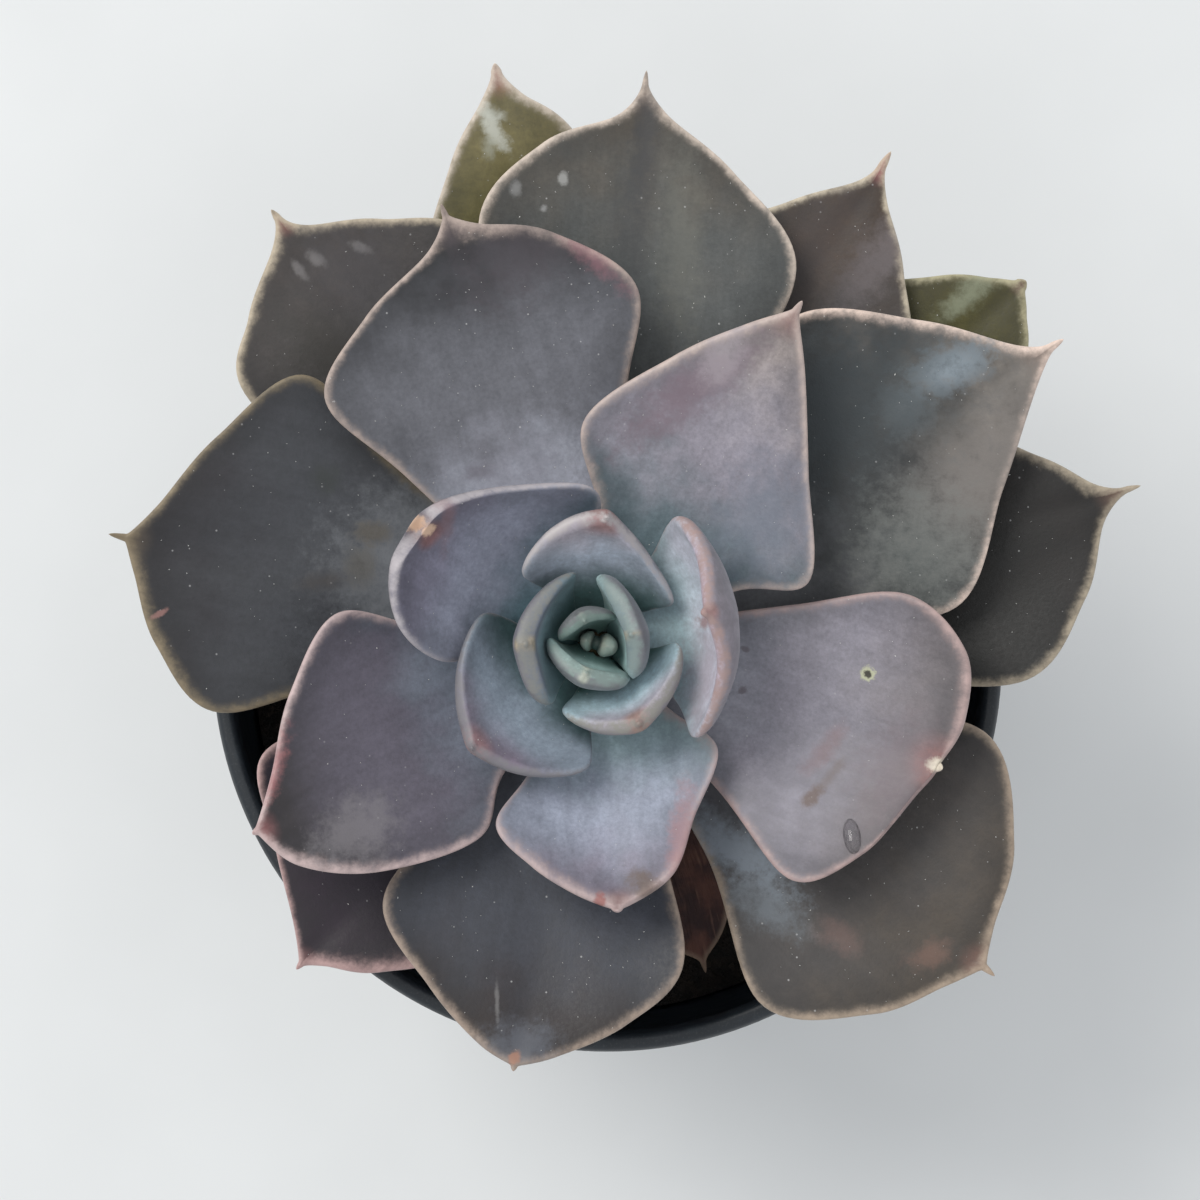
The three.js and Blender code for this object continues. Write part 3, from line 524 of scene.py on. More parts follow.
         left=((24, 9.6), (45, 14), (60, 8.1), (67, 2.9)),
         right=((24, 10), (45, 15.4), (61.6, 8.7), (67.4, 2.9)), spur=(1, 0.7, 0.5),
         base=(70, 69, 36), middle=(84, 80, 42), tip=(108, 100, 64), margin=(205, 192, 178),
         blush=(164, 110, 104), band=1.2,
         marks=[((192, 194, 184), 63.2, 1.6, 2.4, 1.1, 20, 0.7, 0.8),
                ((180, 182, 172), 65.4, 1.4, 1.6, 0.7, 60, 0.8, 0.6),
                ((158, 160, 146), 61.2, 2.6, 1.4, 0.8, 0, 0.8, 0.6)]),
    dict(azimuth=40, length=67.8, tilt=(6, 8), claw=4.8, body=2.6, lift=(1.6, 1.6),
         left=((24, 10.4), (45, 16), (60.2, 8.1), (65.6, 3)),
         right=((24, 10.4), (45, 16.4), (61, 8.8), (66, 3.3)), spur=(0.7, 0.9, 0.4),
         base=(52, 52, 20), middle=(62, 60, 24), tip=(69, 65, 29), margin=(181, 174, 142),
         blush=(100, 56, 62), band=1.1, blushReach=2.2, dust=0.4,
         marks=[((136, 141, 117), 61.6, 3.4, 3.6, 1.5, 0, 0.8, 0.8)]),
]
leafLook = {
    "under": (120, 116, 122), "band": 1.3, "blushReach": 4, "dust": 0.5,
    "grainScale": 1.9, "cloudScale": 0.16, "patchScale": 0.5, "relief": 0.035,  # relief: the wax grain's height
    "sheen": 0.06, "sheenRoughness": 0.5,
    "crispBelow": 0.35, "crispRagged": 1.6, "softRagged": 2.6,  # softer marks have a patchy outline
    "edge": 0.9, "top": 0.3, "wave": 0.16, "crease": 0.22, "creaseWidth": 1.6,
    "stations": 72, "inner": 21, "spurRows": 6, "marginSteps": (0, 0.07, 0.26, 0.58, 1),
}
rosette = {
    "x": -1.4, "y": 2.2, "firstBase": 110.5, "baseStep": 1.05, "firstOut": 1.2, "outStep": 0.55, "root": 0.8,
    "clearance": 0.3, "reach": 13,  # reach: how many younger leaves a leaf is cut back for
}
stemLook = {
    "radius": 5, "foot": 52, "shoulder": 103, "top": 111.2, "buriedRadius": 5.6, "segments": 48,
    "scars": 34, "scarSize": (2.5, 0.55, 0.95), "scarTop": 84, "goldenAngle": 137.5,
    "bark": (82, 78, 58), "paleBark": (120, 104, 78), "scarTint": (70, 52, 42),
}
pot = {
    "height": 88, "rimRadius": 52.5, "lipWidth": 2.4, "bandFoot": 76, "bandStep": 1.6, "baseRadius": 37,
    "wall": 1.3, "floor": 1.6, "footHeight": 2, "footWidth": 4, "padRadius": 9, "segments": 192,
    "drainHoles": 8, "drainRadius": 3.2, "drainCircle": 21, "drillDepth": 12, "edgeRadius": 0.8,
}
soil = {
    "top": 75.5, "lump": 0.7, "rings": 56, "segments": 150, "shoulder": 3, "toe": 2,
    "inset": 1.7, "toeInset": 2.3, "clear": 0.3,  # inset: from the pot's outside, 0.4 mm clear of its wall
}


def marginLine(points, station):  # a smooth line through the points, as the solids' margins are
    knots = np.array([points[0], *points, points[-1]], float)
    last = len(points) - 1
    part = np.minimum((station * last).astype(int), last - 1)
    t = (station * last - part)[:, None]
    before, start, end, after = (knots[part + step] for step in range(4))
    leave, arrive = (end - before) / 2, (after - start) / 2
    return start + leave * t + (3 * (end - start) - 2 * leave - arrive) * t ** 2 \
        + (2 * (start - end) + leave + arrive) * t ** 3


def leafLoops(row, grow=0.0, stations=None, inner=None):
    # closed loops round the blade from claw to tip, and each point's place on the leaf
    row = {**leafLook, "spur": (0, 0, 0), "sway": 0, **row}
    stations, inner, length = stations or row["stations"], inner or row["inner"], row["length"]
    spurLength, spurRadius, spurRise = row["spur"] if grow == 0 else (0, 0, 0)
    station, out = np.linspace(0, 1, stations), np.zeros(stations)
    left, right = (marginLine([(0, row["claw"]), *row[side], (length, 0)], station)
                   for side in ("left", "right"))
    if spurLength:  # the tip goes on past the blade as a short point
        beyond = np.arange(1, row["spurRows"] + 1) / row["spurRows"]
        fade = smoothStep(length - 6 * spurRadius, length, np.maximum(left[:, 0], right[:, 0]))
        for side in (left, right):
            side[:, 1] = np.hypot(np.maximum(side[:, 1], 0), spurRadius * fade)
        point = np.column_stack([length + spurLength * beyond, spurRadius * (1 - beyond) ** 0.6])
        left, right = np.vstack([left, point]), np.vstack([right, point])
        station, out = np.append(station, np.ones(len(beyond))), np.append(out, beyond)
    steps = np.array(row["marginSteps"])
    rightHalf, leftHalf = (np.maximum(side[:, 1], 1e-3)[:, None] for side in (right, left))
    band = max(0.9, 0.7 * row["edge"])  # the rounded margin has closer points
    rightBand, leftBand = (np.minimum(band / side, 0.4) for side in (rightHalf, leftHalf))
    middle = np.linspace(0, 1, inner + 2)[1:-1]
    across = np.hstack([-1 + rightBand * steps, -1 + rightBand + (2 - rightBand - leftBand) * middle,
                        1 - leftBand * steps[::-1]])
    half = np.where(across < 0, rightHalf, leftHalf)
    edgeX = np.where(across < 0, right[:, :1], left[:, :1])
    s = station[:, None]
    centre = (left[:, :1] + right[:, :1]) / 2
    along = centre + (edgeX - centre) * across ** 2 - rosette["root"] * (1 - s) + grow * s
    aside = across * half
    widest = np.where(across < 0, max(p[1] for p in row["right"]), max(p[1] for p in row["left"]))
    lift = np.where(across < 0, row["lift"][1], row["lift"][0])
    edge = leafLook["edge"] + (row["edge"] - leafLook["edge"]) * (1 - s ** 12)
    edge = np.minimum(edge, 2 * np.maximum(half, 0))
    thickness = edge + (row["body"] - edge) * (1 - across ** 2) * (1 - s ** 4) * (half > 0.5)
    margin = (1 - np.abs(across)) * half
    rounding = np.minimum(0.55 * row["edge"], half)
    fullness = np.sqrt(np.clip(1 - (1 - np.minimum(margin / rounding, 1)) ** 2, 0, 1))
    phase = row["azimuth"] * 0.37
    fadeIn = smoothStep(4, 16, along)
    wave = row["wave"] * fadeIn * (
        np.sin(along * 0.23 + phase) * np.cos(aside * 0.31 + 1.7 * phase)
        + 0.6 * np.sin(along * 0.13 - aside * 0.47 + 2.3 * phase))
    crease = row["crease"] * np.exp(-(aside / row["creaseWidth"]) ** 2) \
        * smoothStep(0.45, 0.9, along / length) * (1 - smoothStep(0.97, 1, along / length))
    midHeight = lift * (aside / widest) ** 2 + (row["top"] - 0.5) * thickness + wave - crease \
        + spurRise * out[:, None] ** 2
    points, places = [], []
    start = math.radians(row["tilt"][0])
    bend = math.radians(row["tilt"][1] - row["tilt"][0]) / length
    aim = math.radians(row["azimuth"])
    slope = np.gradient(half.mean(1), along[:, 0] + np.arange(len(along)) * 1e-6)[:, None]
    rim = margin / np.sqrt(1 + np.clip(slope, -3, 3) ** 2)
    swing = across * (half + grow) + row["sway"] * (along / length) ** 2
    for face in (1, -1):
        height = midHeight + face * (fullness * thickness / 2 + grow)
        tilt = start + bend * along
        outwards = row["out"] + (np.sin(tilt) - math.sin(start)) / bend - height * np.sin(tilt)
        up = row["joins"] - (np.cos(tilt) - math.cos(start)) / bend + height * np.cos(tilt)
        x = rosette["x"] + outwards * math.cos(aim) - swing * math.sin(aim)
        y = rosette["y"] + outwards * math.sin(aim) + swing * math.cos(aim)
        points.append(np.stack([x, y, up], 2))
        places.append(np.stack([along, aside, rim, face * fullness], 2))
    back = slice(None, None, -1) if grow else slice(-2, 0, -1)  # a cutter has flat sides
    return [np.concatenate([faces[0], faces[1][:, back]], 1) for faces in (points, places)]


def ringFaces(rings, count, turned=False):  # four-sided faces between rings of points
    faces = []
    for k in range(rings - 1):
        for j in range(count):
            after = (j + 1) % count
            face = (k * count + j, (k + 1) * count + j, (k + 1) * count + after, k * count + after)
            faces.append((face[0], *face[:0:-1]) if turned else face)
    return faces


def leafPiece(name, row, grow=0.0, stations=None, inner=None):
    loops, marks = leafLoops(row, grow, stations, inner)
    rows, count = loops.shape[:2]
    points = np.vstack([loops[:-1].reshape(-1, 3), loops[-1].mean(0), loops[0].mean(0)])
    values = np.vstack([marks[:-1].reshape(-1, 4), marks[-1].mean(0), marks[0].mean(0)])
    tipPoint, basePoint = len(points) - 2, len(points) - 1
    faces, last = ringFaces(rows - 1, count), (rows - 2) * count
    for j in range(count):
        faces += [(last + j, tipPoint, last + (j + 1) % count), (j, (j + 1) % count, basePoint)]
    return makePiece(name, points, faces, {label: values[:, k] for k, label in enumerate(leafLabels)})


def keepLargest(mesh):  # without scraps that a cut may leave
    shape = bmesh.new()
    shape.from_mesh(mesh)
    shape.verts.ensure_lookup_table()
    seen, bodies = set(), []
    for first in shape.verts:
        if first.index in seen:
            continue
        body, waiting = [], [first]
        seen.add(first.index)
        while waiting:
            point = waiting.pop()
            body.append(point)
            for edge in point.link_edges:
                other = edge.other_vert(point)
                if other.index not in seen:
                    seen.add(other.index)
                    waiting.append(other)
        bodies.append(body)
    bodies.sort(key=len)
    for body in bodies[:-1]:
        bmesh.ops.delete(shape, geom=body, context="VERTS")
    shape.to_mesh(mesh)
    shape.free()


def cutWith(piece, cutter):
    cut = piece.modifiers.new("cut", "BOOLEAN")
    cut.operation, cut.solver, cut.object = "DIFFERENCE", "MANIFOLD", cutter
    bake(piece)


def combine(piece, others, operation):  # one Boolean with all the others at once
    held = bpy.data.collections.new("others")
    bpy.context.scene.collection.children.link(held)
    for other in others:
        held.objects.link(other)
    change = piece.modifiers.new("combine", "BOOLEAN")
    change.operation, change.operand_type, change.solver = operation, "COLLECTION", "MANIFOLD"
    change.collection = held
    bake(piece)
    for other in others:
        held.objects.unlink(other)
    bpy.data.collections.remove(held)


def meshSurface(mesh):
    corners = [tuple(p.vertices) for p in mesh.polygons]
    return BVHTree.FromPolygons([v.co for v in mesh.vertices], corners), corners


def cutBack(piece, cutters):  # takes away what lies in the cutters, and keeps each point's place on the leaf
    before = piece.data
    surface, corners = meshSurface(before)
    combine(piece, cutters, "DIFFERENCE")
    keepLargest(piece.data)
    beforePoints, places = meshPoints(before), meshPoints(piece.data)
    owners = [surface.find_nearest(v.co)[2] for v in piece.data.vertices]
    for label in leafLabels:
        known = meshValues(before, label)
        found = np.empty(len(places), np.float32)
        for number, owner in enumerate(owners):
            ring = list(corners[owner])
            gap = np.linalg.norm(beforePoints[ring] - places[number], axis=1) + 1e-4
            weight = gap ** -2
            found[number] = (known[ring] * weight).sum() / weight.sum()
        layer = piece.data.attributes.get(label) or piece.data.attributes.new(label, "FLOAT", "POINT")
        layer.data.foreach_set("value", found)
    piece.data.shade_smooth()
    piece.data.set_sharp_from_angle(angle=math.radians(50))


# Turned shapes, as the pot and the stem are: a profile swept round the upright axis
turnTree, turnIn, turnOut = makeGroup("turnedShape", "GeometryNodeTree", [
    ("Profile", geometryKind, None), ("Segments", wholeKind, 64), ("Centre", vectorKind, (0, 0, 0)),
    ("Finish", materialKind, None)], geometryOut)
profilePoints = addNode(turnTree, "GeometryNodeAttributeDomainSize", {"Geometry": turnIn["Profile"]},
                        component="MESH").outputs["Point Count"]
grid = addNode(turnTree, "GeometryNodeMeshGrid", {
    "Vertices X": addMath(turnTree, "ADD", turnIn["Segments"], 1.0),
    "Vertices Y": profilePoints}).outputs["Mesh"]
number = addNode(turnTree, "GeometryNodeInputIndex").outputs[0]
spoke = addMath(turnTree, "DIVIDE", addMath(turnTree, "ADD", number, 0.5), profilePoints)
spoke = addMath(turnTree, "FLOOR", spoke)
step = addMath(turnTree, "SUBTRACT", number, addMath(turnTree, "MULTIPLY", spoke, profilePoints))
sampled = addNode(turnTree, "GeometryNodeSampleIndex", {
    "Geometry": turnIn["Profile"], "Value": addNode(turnTree, "GeometryNodeInputPosition").outputs[0],
    "Index": step}, data_type="FLOAT_VECTOR").outputs["Value"]
spokeAngle = addMath(turnTree, "DIVIDE", spoke, turnIn["Segments"])
spokeAngle = addMath(turnTree, "MULTIPLY", spokeAngle, 2 * math.pi)
turnedPlace = addNode(turnTree, "ShaderNodeVectorRotate", {"Vector": sampled, "Angle": spokeAngle},
                      rotation_type="Z_AXIS").outputs[0]
turnedPlace = addVector(turnTree, "ADD", turnedPlace, turnIn["Centre"])
shaped = addNode(turnTree, "GeometryNodeSetPosition", {"Geometry": grid, "Position": turnedPlace}).outputs[0]
shaped = addNode(turnTree, "GeometryNodeMergeByDistance", {"Geometry": shaped, "Distance": 1e-6}).outputs[0]
endTree(turnTree, shaped, turnIn, turnOut)

# Round holes on a circle
drillTree, drillIn, drillOut = makeGroup("drilledCircle", "GeometryNodeTree", [
    ("Body", geometryKind, None), ("Holes", wholeKind, 8), ("Hole Radius", floatKind, 0.003),
    ("Circle Radius", floatKind, 0.02), ("Depth", floatKind, 0.012),
    ("Finish", materialKind, None)], geometryOut)
ring = addNode(drillTree, "GeometryNodeMeshCircle", {
    "Vertices": drillIn["Holes"], "Radius": drillIn["Circle Radius"]}).outputs["Mesh"]
halfStep = addMath(drillTree, "DIVIDE", math.pi, drillIn["Holes"])
ring = addNode(drillTree, "GeometryNodeTransform", {
    "Geometry": ring, "Rotation": addPoint(drillTree, z=halfStep)}).outputs[0]
drill = addNode(drillTree, "GeometryNodeMeshCylinder", {
    "Vertices": 32, "Radius": drillIn["Hole Radius"], "Depth": drillIn["Depth"]}).outputs["Mesh"]
drills = addNode(drillTree, "GeometryNodeInstanceOnPoints", {"Points": ring, "Instance": drill}).outputs[0]
drills = addNode(drillTree, "GeometryNodeRealizeInstances", {"Geometry": drills}).outputs[0]
holed = addNode(drillTree, "GeometryNodeMeshBoolean", {0: drillIn["Body"], 1: drills},
                operation="DIFFERENCE", solver="MANIFOLD").outputs[0]
endTree(drillTree, holed, drillIn, drillOut)


def turnProfile(name, profile, segments, centre, finish):
    piece = makePiece(name, [(radius, 0, height) for radius, height in profile], [])
    dress(piece, finish)
    return growTree(piece, turnTree, {
        "Segments": segments, "Centre": tuple(c * mm for c in centre), "Finish": finish})


def ballProfile(steps, radius=1.0, sunk=1.0):  # sunk: how deep its lower half is, in radii
    slopes = [math.radians(slope) for slope in np.linspace(-90, 90, steps)[1:-1]]
    sides = [(radius * math.cos(slope), radius * math.sin(slope) * (1 if slope > 0 else sunk))
             for slope in slopes]
    return [(0, -radius * sunk), *sides, (0, radius)]


def roundCorners(profile, radius, steps=4):  # eases each corner of a profile with a short arc
    eased = [profile[0]]
    for before, corner, after in zip(profile, profile[1:], profile[2:]):
        before, corner, after = (np.array(p, float) for p in (before, corner, after))
        come, leave = before - corner, after - corner
        reach = min(radius, 0.45 * np.linalg.norm(come), 0.45 * np.linalg.norm(leave))
        first = corner + come / np.linalg.norm(come) * reach
        last = corner + leave / np.linalg.norm(leave) * reach
        for t in np.linspace(0, 1, steps):
            eased.append(tuple((1 - t) ** 2 * first + 2 * t * (1 - t) * corner + t ** 2 * last))
    return [*eased, profile[-1]]


# Pot of black plastic
def wallRadius(height):
    slope = (pot["rimRadius"] - pot["bandStep"] - pot["edgeRadius"] - pot["baseRadius"]) / pot["bandFoot"]
    return pot["baseRadius"] + slope * height


plastic = {
    "colour": (25, 32, 39), "worn": (52, 62, 70), "dusty": (92, 96, 98), "roughness": 0.36, "scuffed": 0.58,
    "relief": 0.03, "ringing": 14.0, "wornShare": 0.35, "dustShare": 0.22,
}
potFinish, tree, shader = makeMaterial("potPlastic")
place = objectPlace(tree)
parts = splitPoint(tree, place)
turn = addMath(tree, "ARCTAN2", parts[1], parts[0])
turn = addMath(tree, "MULTIPLY", turn, plastic["ringing"])
flow = addPoint(tree, turn, parts[2], addVector(tree, "LENGTH", place))
drawn = addNoise(tree, flow, 0.9, 4.0, 0.6)       # fine lines round the pot from the mould
cloudy = addNoise(tree, place, 0.09, 3.0, 0.6)
skinGrain = addNoise(tree, place, 3.0, 2.0, 0.6)
wear = addRange(tree, addMath(tree, "MULTIPLY", cloudy, drawn), 0.24, 0.4)
wear = addMath(tree, "MULTIPLY", wear, plastic["wornShare"])
colour = addMix(tree, wear, screen(*plastic["colour"]), screen(*plastic["worn"]))
dustFall = splitPoint(tree, addNode(tree, "ShaderNodeNewGeometry").outputs["Normal"])[2]
dustMask = addMath(tree, "MULTIPLY", addRange(tree, dustFall, 0.5, 1.0),
                   addRange(tree, skinGrain, 0.5, 0.78, 0.0, plastic["dustShare"]))
colour = addMix(tree, dustMask, colour, screen(*plastic["dusty"]))
tree.links.new(colour, shader.inputs["Base Color"])
tree.links.new(addRange(tree, drawn, 0.3, 0.75, plastic["roughness"], plastic["scuffed"], smooth=False),
               shader.inputs["Roughness"])
relief = addMath(tree, "ADD", drawn, addMath(tree, "MULTIPLY", skinGrain, 0.5))
tree.links.new(addBump(tree, relief, plastic["relief"]), shader.inputs["Normal"])

rim, lip = pot["rimRadius"], pot["rimRadius"] - pot["lipWidth"]
foot, top = pot["bandFoot"], pot["height"]
floorTop = pot["footHeight"] + pot["floor"]
innerFoot = wallRadius(foot) - pot["wall"]
potProfile = [
    (0, 0), (pot["padRadius"], 0), (pot["padRadius"] + 1, pot["footHeight"]),
    (pot["baseRadius"] - pot["footWidth"] - 1, pot["footHeight"]), (pot["baseRadius"] - pot["footWidth"], 0),
    (pot["baseRadius"] - pot["edgeRadius"], 0), (pot["baseRadius"], pot["edgeRadius"]),
    (wallRadius(26), 26), (wallRadius(52), 52),
    (wallRadius(foot), foot), (wallRadius(foot) + pot["bandStep"], foot + 0.8), (rim - 0.1, top - 2.2),
    (rim, top - 1), (rim - 0.6, top), (lip + 0.5, top), (lip, top - 0.35), (lip - 0.5, top - 1.6),
    (innerFoot + 1.9, top - 6.4), (innerFoot + 0.9, foot + 2), (innerFoot, foot - 1),
    (wallRadius(40) - pot["wall"], 40), (wallRadius(floorTop + 2) - pot["wall"], floorTop + 2),
    (wallRadius(floorTop) - pot["wall"] - 2, floorTop), (0, floorTop)]
potPiece = turnProfile("pot_body", roundCorners(potProfile, 0.45), pot["segments"], (0, 0, 0), potFinish)
turnOutwards(potPiece)
growTree(potPiece, drillTree, {
    "Holes": pot["drainHoles"], "Hole Radius": pot["drainRadius"] * mm,
    "Circle Radius": pot["drainCircle"] * mm,
    "Depth": pot["drillDepth"] * mm, "Finish": potFinish})
turnOutwards(potPiece, 40)
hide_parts("pot")
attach(potPiece, "root")
print("pot made,", len(potPiece.data.polygons), "faces")


# Potting soil, crumbly on top
def soilHeight(x, y):
    return soil["top"] + soil["lump"] * (np.sin(x * 0.31 + 0.6) * np.cos(y * 0.27 - 0.4)
                                         + 0.6 * np.sin(x * 0.52 - y * 0.43 + 1.1))


mould = {
    "dark": (14, 12, 10), "brown": (34, 27, 21), "pale": (66, 56, 46), "roughness": 0.93, "relief": 0.5,
    "crumble": 1.1, "crumbleSize": 1.7, "crumbleMiddle": 0.62,  # how rough its top is, in mm
}
soilFinish, tree, shader = makeMaterial("pottingSoil")
place = objectPlace(tree)
clod = addNoise(tree, place, 0.45, 4.0, 0.62)
crumb = addNoise(tree, place, 2.4, 3.0, 0.65)
shade = addAttribute(tree, "shade")
colour = addMix(tree, addRange(tree, clod, 0.35, 0.68), screen(*mould["dark"]), screen(*mould["brown"]))
colour = addMix(tree, addRange(tree, crumb, 0.6, 0.78, 0.0, 0.5), colour, screen(*mould["pale"]))
colour = addMix(tree, addRange(tree, shade, 0.55, 1.0, 0.0, 0.55), colour, screen(*mould["pale"]))
tree.links.new(colour, shader.inputs["Base Color"])
shader.inputs["Roughness"].default_value = mould["roughness"]
tree.links.new(addBump(tree, addMath(tree, "ADD", clod, crumb), mould["relief"]), shader.inputs["Normal"])

crumbleTree, crumbleIn, crumbleOut = makeGroup("crumbledTop", "GeometryNodeTree", [
    ("Body", geometryKind, None), ("From Height", floatKind, 0.07), ("Amount", floatKind, 0.001),
    ("Grain Scale", floatKind, 400), ("Finish", materialKind, None)], geometryOut)
spotHere = addNode(crumbleTree, "GeometryNodeInputPosition").outputs[0]
onTop = addMath(crumbleTree, "GREATER_THAN", splitPoint(crumbleTree, spotHere)[2], crumbleIn["From Height"])
bumps = addNode(crumbleTree, "ShaderNodeTexNoise", {
    "Vector": spotHere, "Scale": crumbleIn["Grain Scale"], "Detail": 3.0, "Roughness": 0.6}).outputs["Fac"]
rise = addSwing(crumbleTree, bumps, mould["crumbleMiddle"], crumbleIn["Amount"])
rise = addPoint(crumbleTree, z=addMath(crumbleTree, "MULTIPLY", rise, onTop))
crumbled = addNode(crumbleTree, "GeometryNodeSetPosition", {"Geometry": crumbleIn["Body"], "Offset": rise})
endTree(crumbleTree, crumbled.outputs[0], crumbleIn, crumbleOut)


def soilRadius(height):
    return wallRadius(height) - soil["inset"]


def soilBody():
    foot, toe, shoulder = floorTop + soil["clear"], soil["toe"], soil["top"] - soil["shoulder"]
    outline = [(wallRadius(floorTop) - pot["wall"] - soil["toeInset"], foot),
               (soilRadius(floorTop + toe), foot + toe),
               *[(soilRadius(height), height) for height in (30, 55, shoulder)]]
    spokes = np.arange(soil["segments"]) * 2 * math.pi / soil["segments"]
    rings = [np.column_stack([radius * np.cos(spokes), radius * np.sin(spokes), np.full(len(spokes), height)])
             for radius, height in outline]
    for k in range(soil["rings"]):
        radius = soilRadius(soil["top"]) * (1 - k / soil["rings"])
        x, y = radius * np.cos(spokes), radius * np.sin(spokes)
        rings.append(np.column_stack([x, y, soilHeight(x, y)]))
    points = np.vstack([*rings, [[0, 0, float(soilHeight(0, 0))]], [[0, 0, foot]]])
    count, faces = soil["segments"], ringFaces(len(rings), soil["segments"], turned=True)
    last, centre, under = (len(rings) - 1) * count, len(points) - 2, len(points) - 1
    for j in range(count):
        after = (j + 1) % count
        faces += [(last + j, last + after, centre), (after, j, under)]
    return makePiece("soil_body", points, faces)


stemFinish, tree, shader = makeMaterial("stemBark")
place = objectPlace(tree)
streak = addNoise(tree, addVector(tree, "MULTIPLY", place, (1, 1, 0.3)), 0.9, 4.0, 0.6)
streaked = addRange(tree, streak, 0.35, 0.68)
colour = addMix(tree, streaked, screen(*stemLook["bark"]), screen(*stemLook["paleBark"]))
scarShare = addMath(tree, "MULTIPLY", addAttribute(tree, "scar"), 0.7)
colour = addMix(tree, scarShare, colour, screen(*stemLook["scarTint"]))
tree.links.new(colour, shader.inputs["Base Color"])
shader.inputs["Roughness"].default_value = 0.7
tree.links.new(addBump(tree, streak, 0.25), shader.inputs["Normal"])


def stemProfile(grow=0.0):
    look = stemLook
    return [(0, look["foot"] - grow), (look["buriedRadius"] + grow, look["foot"] - grow),
            (look["buriedRadius"] + grow, soil["top"] + 1), (look["radius"] + grow, soil["top"] + 6),
            (look["radius"] - 0.1 + grow, look["shoulder"]), (1.2 + grow, look["top"] - 0.8 + grow),
            (0, look["top"] + grow)]


rosetteFoot = (rosette["x"], rosette["y"], 0)
stemCutter = turnProfile(
    "stem_cutter", stemProfile(rosette["clearance"]), stemLook["segments"], rosetteFoot, stemFinish)
turnOutwards(stemCutter)

soilPiece = soilBody()
turnOutwards(soilPiece)
cutWith(soilPiece, stemCutter)
dress(soilPiece, soilFinish)
growTree(soilPiece, crumbleTree, {
    "From Height": (soil["top"] - 2) * mm, "Amount": mould["crumble"] * mm,
    "Grain Scale": 1 / (mould["crumbleSize"] * mm), "Finish": soilFinish})
turnOutwards(soilPiece, 60)
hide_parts("soil")
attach(soilPiece, "root")
print("soil made,", len(soilPiece.data.polygons), "faces")

# Stem with the scars of shed leaves, each a golden angle on from the last
scarTree, scarIn, scarOut = makeGroup("leafScars", "GeometryNodeTree", [
    ("Body", geometryKind, None), ("Scars", wholeKind, 30),
    ("Foot", floatKind, 0.077), ("Top", floatKind, 0.1),
    ("Radius", floatKind, 0.005), ("Turn", floatKind, 2.4), ("Size", vectorKind, (1, 1, 1)),
    ("Centre", vectorKind, (0, 0, 0)), ("Finish", materialKind, None)], geometryOut)
order = addNode(scarTree, "GeometryNodeInputIndex").outputs[0]
share = addMath(scarTree, "DIVIDE", order, scarIn["Scars"])
scarAngle = addMath(scarTree, "MULTIPLY", order, scarIn["Turn"])
height = addMath(scarTree, "SUBTRACT", scarIn["Top"], scarIn["Foot"])
height = addMath(scarTree, "ADD", scarIn["Foot"], addMath(scarTree, "MULTIPLY", share, height))
spotX, spotY = (addMath(scarTree, "MULTIPLY", scarIn["Radius"], addMath(scarTree, wayRound, scarAngle))
                for wayRound in ("COSINE", "SINE"))
spot = addPoint(scarTree, spotX, spotY, height)
spots = addNode(scarTree, "GeometryNodePoints", {
    "Count": scarIn["Scars"], "Position": addVector(scarTree, "ADD", spot, scarIn["Centre"])}).outputs[0]
bead = addNode(scarTree, "GeometryNodeMeshIcoSphere", {"Radius": 1.0, "Subdivisions": 2}).outputs["Mesh"]
scars = addNode(scarTree, "GeometryNodeInstanceOnPoints", {
    "Points": spots, "Instance": bead, "Scale": scarIn["Size"],
    "Rotation": addPoint(scarTree, z=scarAngle)}).outputs[0]
scars = addNode(scarTree, "GeometryNodeRealizeInstances", {"Geometry": scars}).outputs[0]
scars = addNode(scarTree, "GeometryNodeStoreNamedAttribute", {
    "Geometry": scars, "Name": "scar", "Value": 1.0}, data_type="FLOAT", domain="POINT").outputs[0]
both = addNode(scarTree, "GeometryNodeJoinGeometry")
scarTree.links.new(scarIn["Body"], both.inputs[0])
scarTree.links.new(scars, both.inputs[0])
endTree(scarTree, both.outputs[0], scarIn, scarOut)

stemPiece = turnProfile(
    "stem_body", roundCorners(stemProfile(), 1, 5), stemLook["segments"], rosetteFoot, stemFinish)
turnOutwards(stemPiece)
growTree(stemPiece, scarTree, {
    "Scars": stemLook["scars"], "Foot": (soil["top"] + 3) * mm, "Top": stemLook["scarTop"] * mm,
    "Radius": (stemLook["radius"] - 0.05) * mm, "Turn": math.radians(stemLook["goldenAngle"]),
    "Size": tuple(stemLook["scarSize"][k] * mm for k in (1, 0, 2)),
    "Centre": tuple(c * mm for c in rosetteFoot),
    "Finish": stemFinish})
stemPiece.data.shade_smooth()
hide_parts("stem")
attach(stemPiece, "root")

# Heart: two unopened leaves on the growing point
heartLook = {
    "core": 0.9, "sunk": 0.6, "length": 4.8,
    "base": (70, 96, 92), "middle": (100, 124, 120), "tip": (134, 150, 142), "margin": (150, 164, 156),
    "blush": (168, 172, 158), "band": 0.5, "dust": 0.1,
}
buds = [
    dict(azimuth=345, length=5, tilt=(68, 108), claw=1.2, body=2.3, edge=1.2, top=0.5,
         lift=(0.5, 0.5), out=1.1,
         left=((1.2, 1.4), (2.6, 1.5), (4, 1.1)), right=((1.2, 1.4), (2.6, 1.5), (4, 1.1))),
    dict(azimuth=165, length=4.6, tilt=(70, 104), claw=0.9, body=1.6, edge=0.9, top=0.5,
         lift=(0.4, 0.4), out=0.9,
         left=((1, 1.1), (2.2, 1.3), (3.6, 0.8)), right=((1, 1.1), (2.2, 1.3), (3.6, 0.8))),
]
